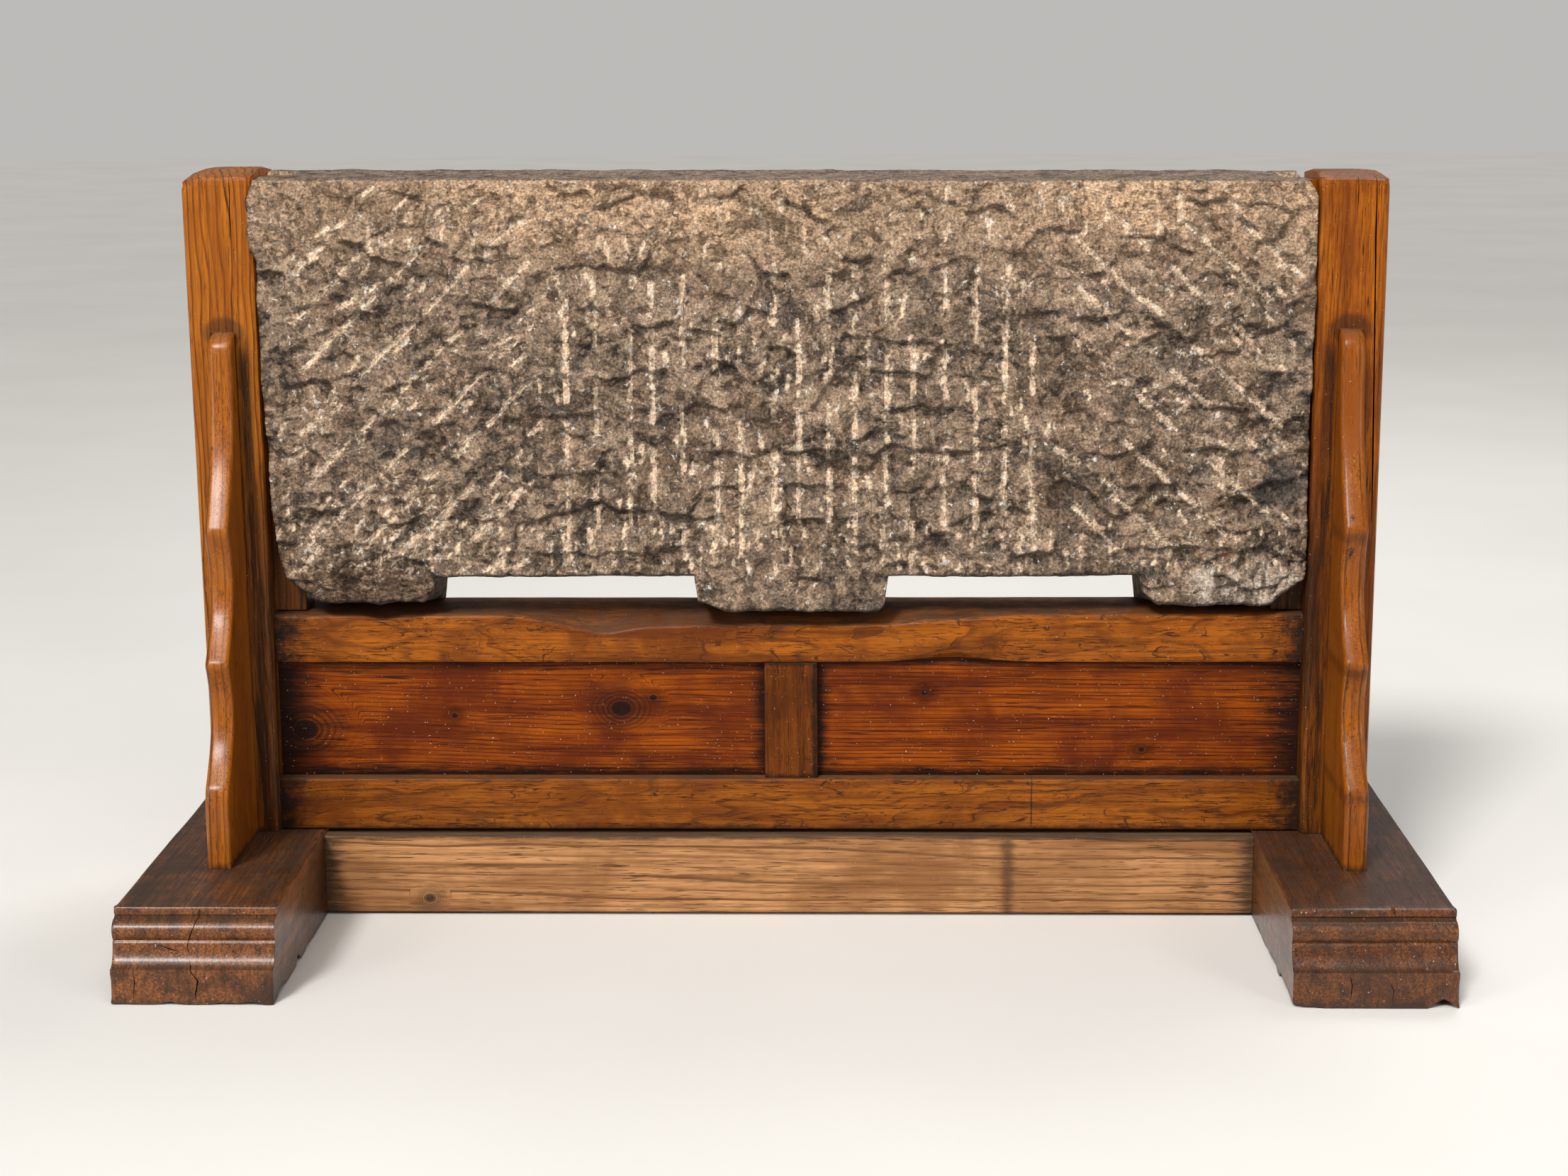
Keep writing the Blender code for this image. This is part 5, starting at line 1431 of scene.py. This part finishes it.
def make_upper_rail(material):
    """The thick rail under the slab, its front top edge worn wavy by hands and feet."""
    low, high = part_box("upper_rail")
    end_x = POST_INNER_X - RAIL_END_GAP
    xs = np.linspace(-end_x, end_x, RAIL_STATIONS)
    dish = RAIL_DISH_DEPTH * smooth_step(-0.330, -0.240, xs) * (1 - smooth_step(0.060, 0.310, xs))
    scoop = 0.007 * bump_at(-0.212, 0.030, xs) + 0.005 * bump_at(-0.475, 0.018, xs)
    ripple = 0.0011 * layered_noise(xs * 30, 4.4, seed=121)
    wear = np.maximum(0.0015, 0.002 + dish + scoop + ripple)
    wane = 0.0015 + 0.014 * bump_at(0.193, 0.052, xs)
    front, back = low.y, high.y
    round_by = RAIL_ROUND
    rings = []
    for x, deep, cut in zip(xs, wear, wane):
        top_z = high.z - deep
        ring = [(front + cut * 1.1 + round_by, low.z), (front + cut * 0.35 + 0.0006, low.z + cut * 0.45),
                (front, low.z + cut + 0.002)]
        ring += [(front, low.z + cut + 0.002 + (top_z - round_by - low.z - cut - 0.002) * share)
                 for share in (0.33, 0.66, 1.0)]
        ring += [(front + round_by * (1 - math.cos(turn)), top_z - round_by * (1 - math.sin(turn)))
                 for turn in (0.4, 0.8, 1.2, math.pi / 2)]
        ring += [(front * 0.62, high.z - deep * 0.62), (front * 0.25, high.z - deep * 0.25),
                 (back * 0.30, high.z), (back - 0.004, high.z), (back, high.z - 0.004),
                 (back, low.z + 0.002), (back - 0.002, low.z)]
        rings.append(np.column_stack((np.full(len(ring), x), ring)))
    count = len(rings[0])
    faces = side_faces(len(rings), count)
    faces.append(tuple(range(count)))
    faces.append(tuple(range((len(rings) - 1) * count, len(rings) * count)))
    places = np.concatenate(rings)
    moved = worn(places, 0.0006, 131)
    moved[:, 0] = places[:, 0]
    moved[:, 2] = np.minimum(moved[:, 2], high.z)
    return put("worn_upper_rail", moved, faces, material, "upper_rail")


def make_wooden_pieces():
    """Dress every wooden piece: new worn forms for some, new surfaces on the rest."""
    looks = wood_looks()
    woods = {name: wood_material(name + "_old_wood", look) for name, look in looks.items()}
    kept = {
        "lower_rail": "joined",
        "muntin": "muntin",
        "panel_left": "panel_left",
        "panel_right": "panel_right",
        "stretcher": "pale",
    }
    for name, wood in kept.items():
        thing = NODES[name]
        thing.data.materials.clear()
        thing.data.materials.append(woods[wood])
    for side in ("left", "right"):
        for face, front in (("front_", -1), ("back_", 1)):
            make_bracket("scalloped_bracket_" + face + side, "bracket_" + face + side, front,
                         woods["bracket_" + side])
        seed, wear = {"left": (151, 0.25), "right": (171, 1.0)}[side]
        foot = make_foot("moulded_foot_" + side, "foot_" + side, seed, wear, woods["dark_" + side])
        cut_cracks(foot, FOOT_CRACKS[side])
        post = make_post("cracked_post_" + side, "post_" + side, side, woods["honey_" + side])
        cut_cracks(post, POST_CRACKS[side])
    make_upper_rail(woods["rail"])


# Studio

def make_camera():
    """The camera, at the photograph's place and angle."""
    data = bpy.data.cameras.new("camera")
    data.lens = CAMERA_LENS_MM
    data.sensor_width = CAMERA_SENSOR_MM
    data.sensor_fit = 'HORIZONTAL'
    data.clip_end = 60.0
    camera = bpy.data.objects.new("camera", data)
    bpy.context.scene.collection.objects.link(camera)
    level = math.cos(CAMERA_TILT)
    facing = Vector((-math.sin(CAMERA_YAW) * level, math.cos(CAMERA_YAW) * level, math.sin(CAMERA_TILT)))
    turn = facing.to_track_quat('-Z', 'Y') @ Quaternion((0, 0, 1), CAMERA_ROLL)
    camera.rotation_mode = 'QUATERNION'
    camera.rotation_quaternion = turn
    camera.location = CAMERA_PLACE
    bpy.context.scene.camera = camera


def make_light(name, place, target, width, height, watts, colour):
    """A soft rectangular light aimed at a point."""
    data = bpy.data.lights.new(name, 'AREA')
    data.shape = 'RECTANGLE'
    data.size = width
    data.size_y = height
    data.energy = watts
    data.color = colour
    light = bpy.data.objects.new(name, data)
    bpy.context.scene.collection.objects.link(light)
    light.location = place
    light.rotation_mode = 'QUATERNION'
    light.rotation_quaternion = (Vector(target) - Vector(place)).to_track_quat('-Z', 'Y')


def make_floor():
    """A plain pale floor."""
    bm = bmesh.new()
    bmesh.ops.create_grid(bm, x_segments=1, y_segments=1, size=20.0)
    mesh = bpy.data.meshes.new("floor")
    bm.to_mesh(mesh)
    bm.free()
    floor = bpy.data.objects.new("floor", mesh)
    floor.location.z = -0.0008
    bpy.context.scene.collection.objects.link(floor)
    make = Surface("pale_floor")
    shade = make.noise(make.place, 1.5, 3.0, 0.5)
    colour = make.ramp(shade, ((0.3, (0.66, 0.65, 0.63)), (0.7, (0.70, 0.69, 0.67))))
    mesh.materials.append(make.finish(colour, 0.85, shade, 0.0002, 0.2))


def make_lights():
    """Plain soft light: a broad high key, weaker fills and a pale room."""
    data = bpy.data.lights.new("high_key", 'SUN')
    data.energy = 2.7
    data.angle = math.radians(13)
    data.color = (1.0, 0.975, 0.94)
    sun = bpy.data.objects.new("high_key", data)
    bpy.context.scene.collection.objects.link(sun)
    sun.rotation_mode = 'QUATERNION'
    sun.rotation_quaternion = Vector((0.38, 0.86, -0.88)).to_track_quat('-Z', 'Y')
    make_light("top_box", (-0.3, -1.5, 2.7), (0.0, 0.0, 0.45), 2.2, 0.8, 34, (1.0, 0.97, 0.92))
    make_light("left_box", (-2.6, -2.8, 1.3), (0.0, 0.0, 0.4), 1.0, 1.4, 30, (1.0, 0.97, 0.93))
    make_light("right_box", (2.6, -2.8, 1.5), (0.0, 0.0, 0.4), 1.0, 1.4, 30, (1.0, 0.97, 0.93))
    make_light("back_box", (1.6, 2.4, 4.2), (0.0, 0.0, 0.4), 2.0, 1.5, 90, (1.0, 0.98, 0.96))
    world = bpy.data.worlds.new("studio")
    world.use_nodes = True
    nodes, links = world.node_tree.nodes, world.node_tree.links
    lit = nodes["Background"]
    lit.inputs[0].default_value = (0.90, 0.89, 0.87, 1.0)
    lit.inputs[1].default_value = 0.20
    seen = nodes.new('ShaderNodeBackground')
    seen.inputs[0].default_value = (0.50, 0.495, 0.48, 1.0)
    ray = nodes.new('ShaderNodeLightPath')
    mix = nodes.new('ShaderNodeMixShader')
    links.new(ray.outputs["Is Camera Ray"], mix.inputs[0])
    links.new(lit.outputs[0], mix.inputs[1])
    links.new(seen.outputs[0], mix.inputs[2])
    links.new(mix.outputs[0], nodes["World Output"].inputs[0])
    bpy.context.scene.world = world
    bpy.context.scene.view_settings.view_transform = 'Standard'


make_camera()
make_floor()
make_lights()
make_wooden_pieces()
make_slab()
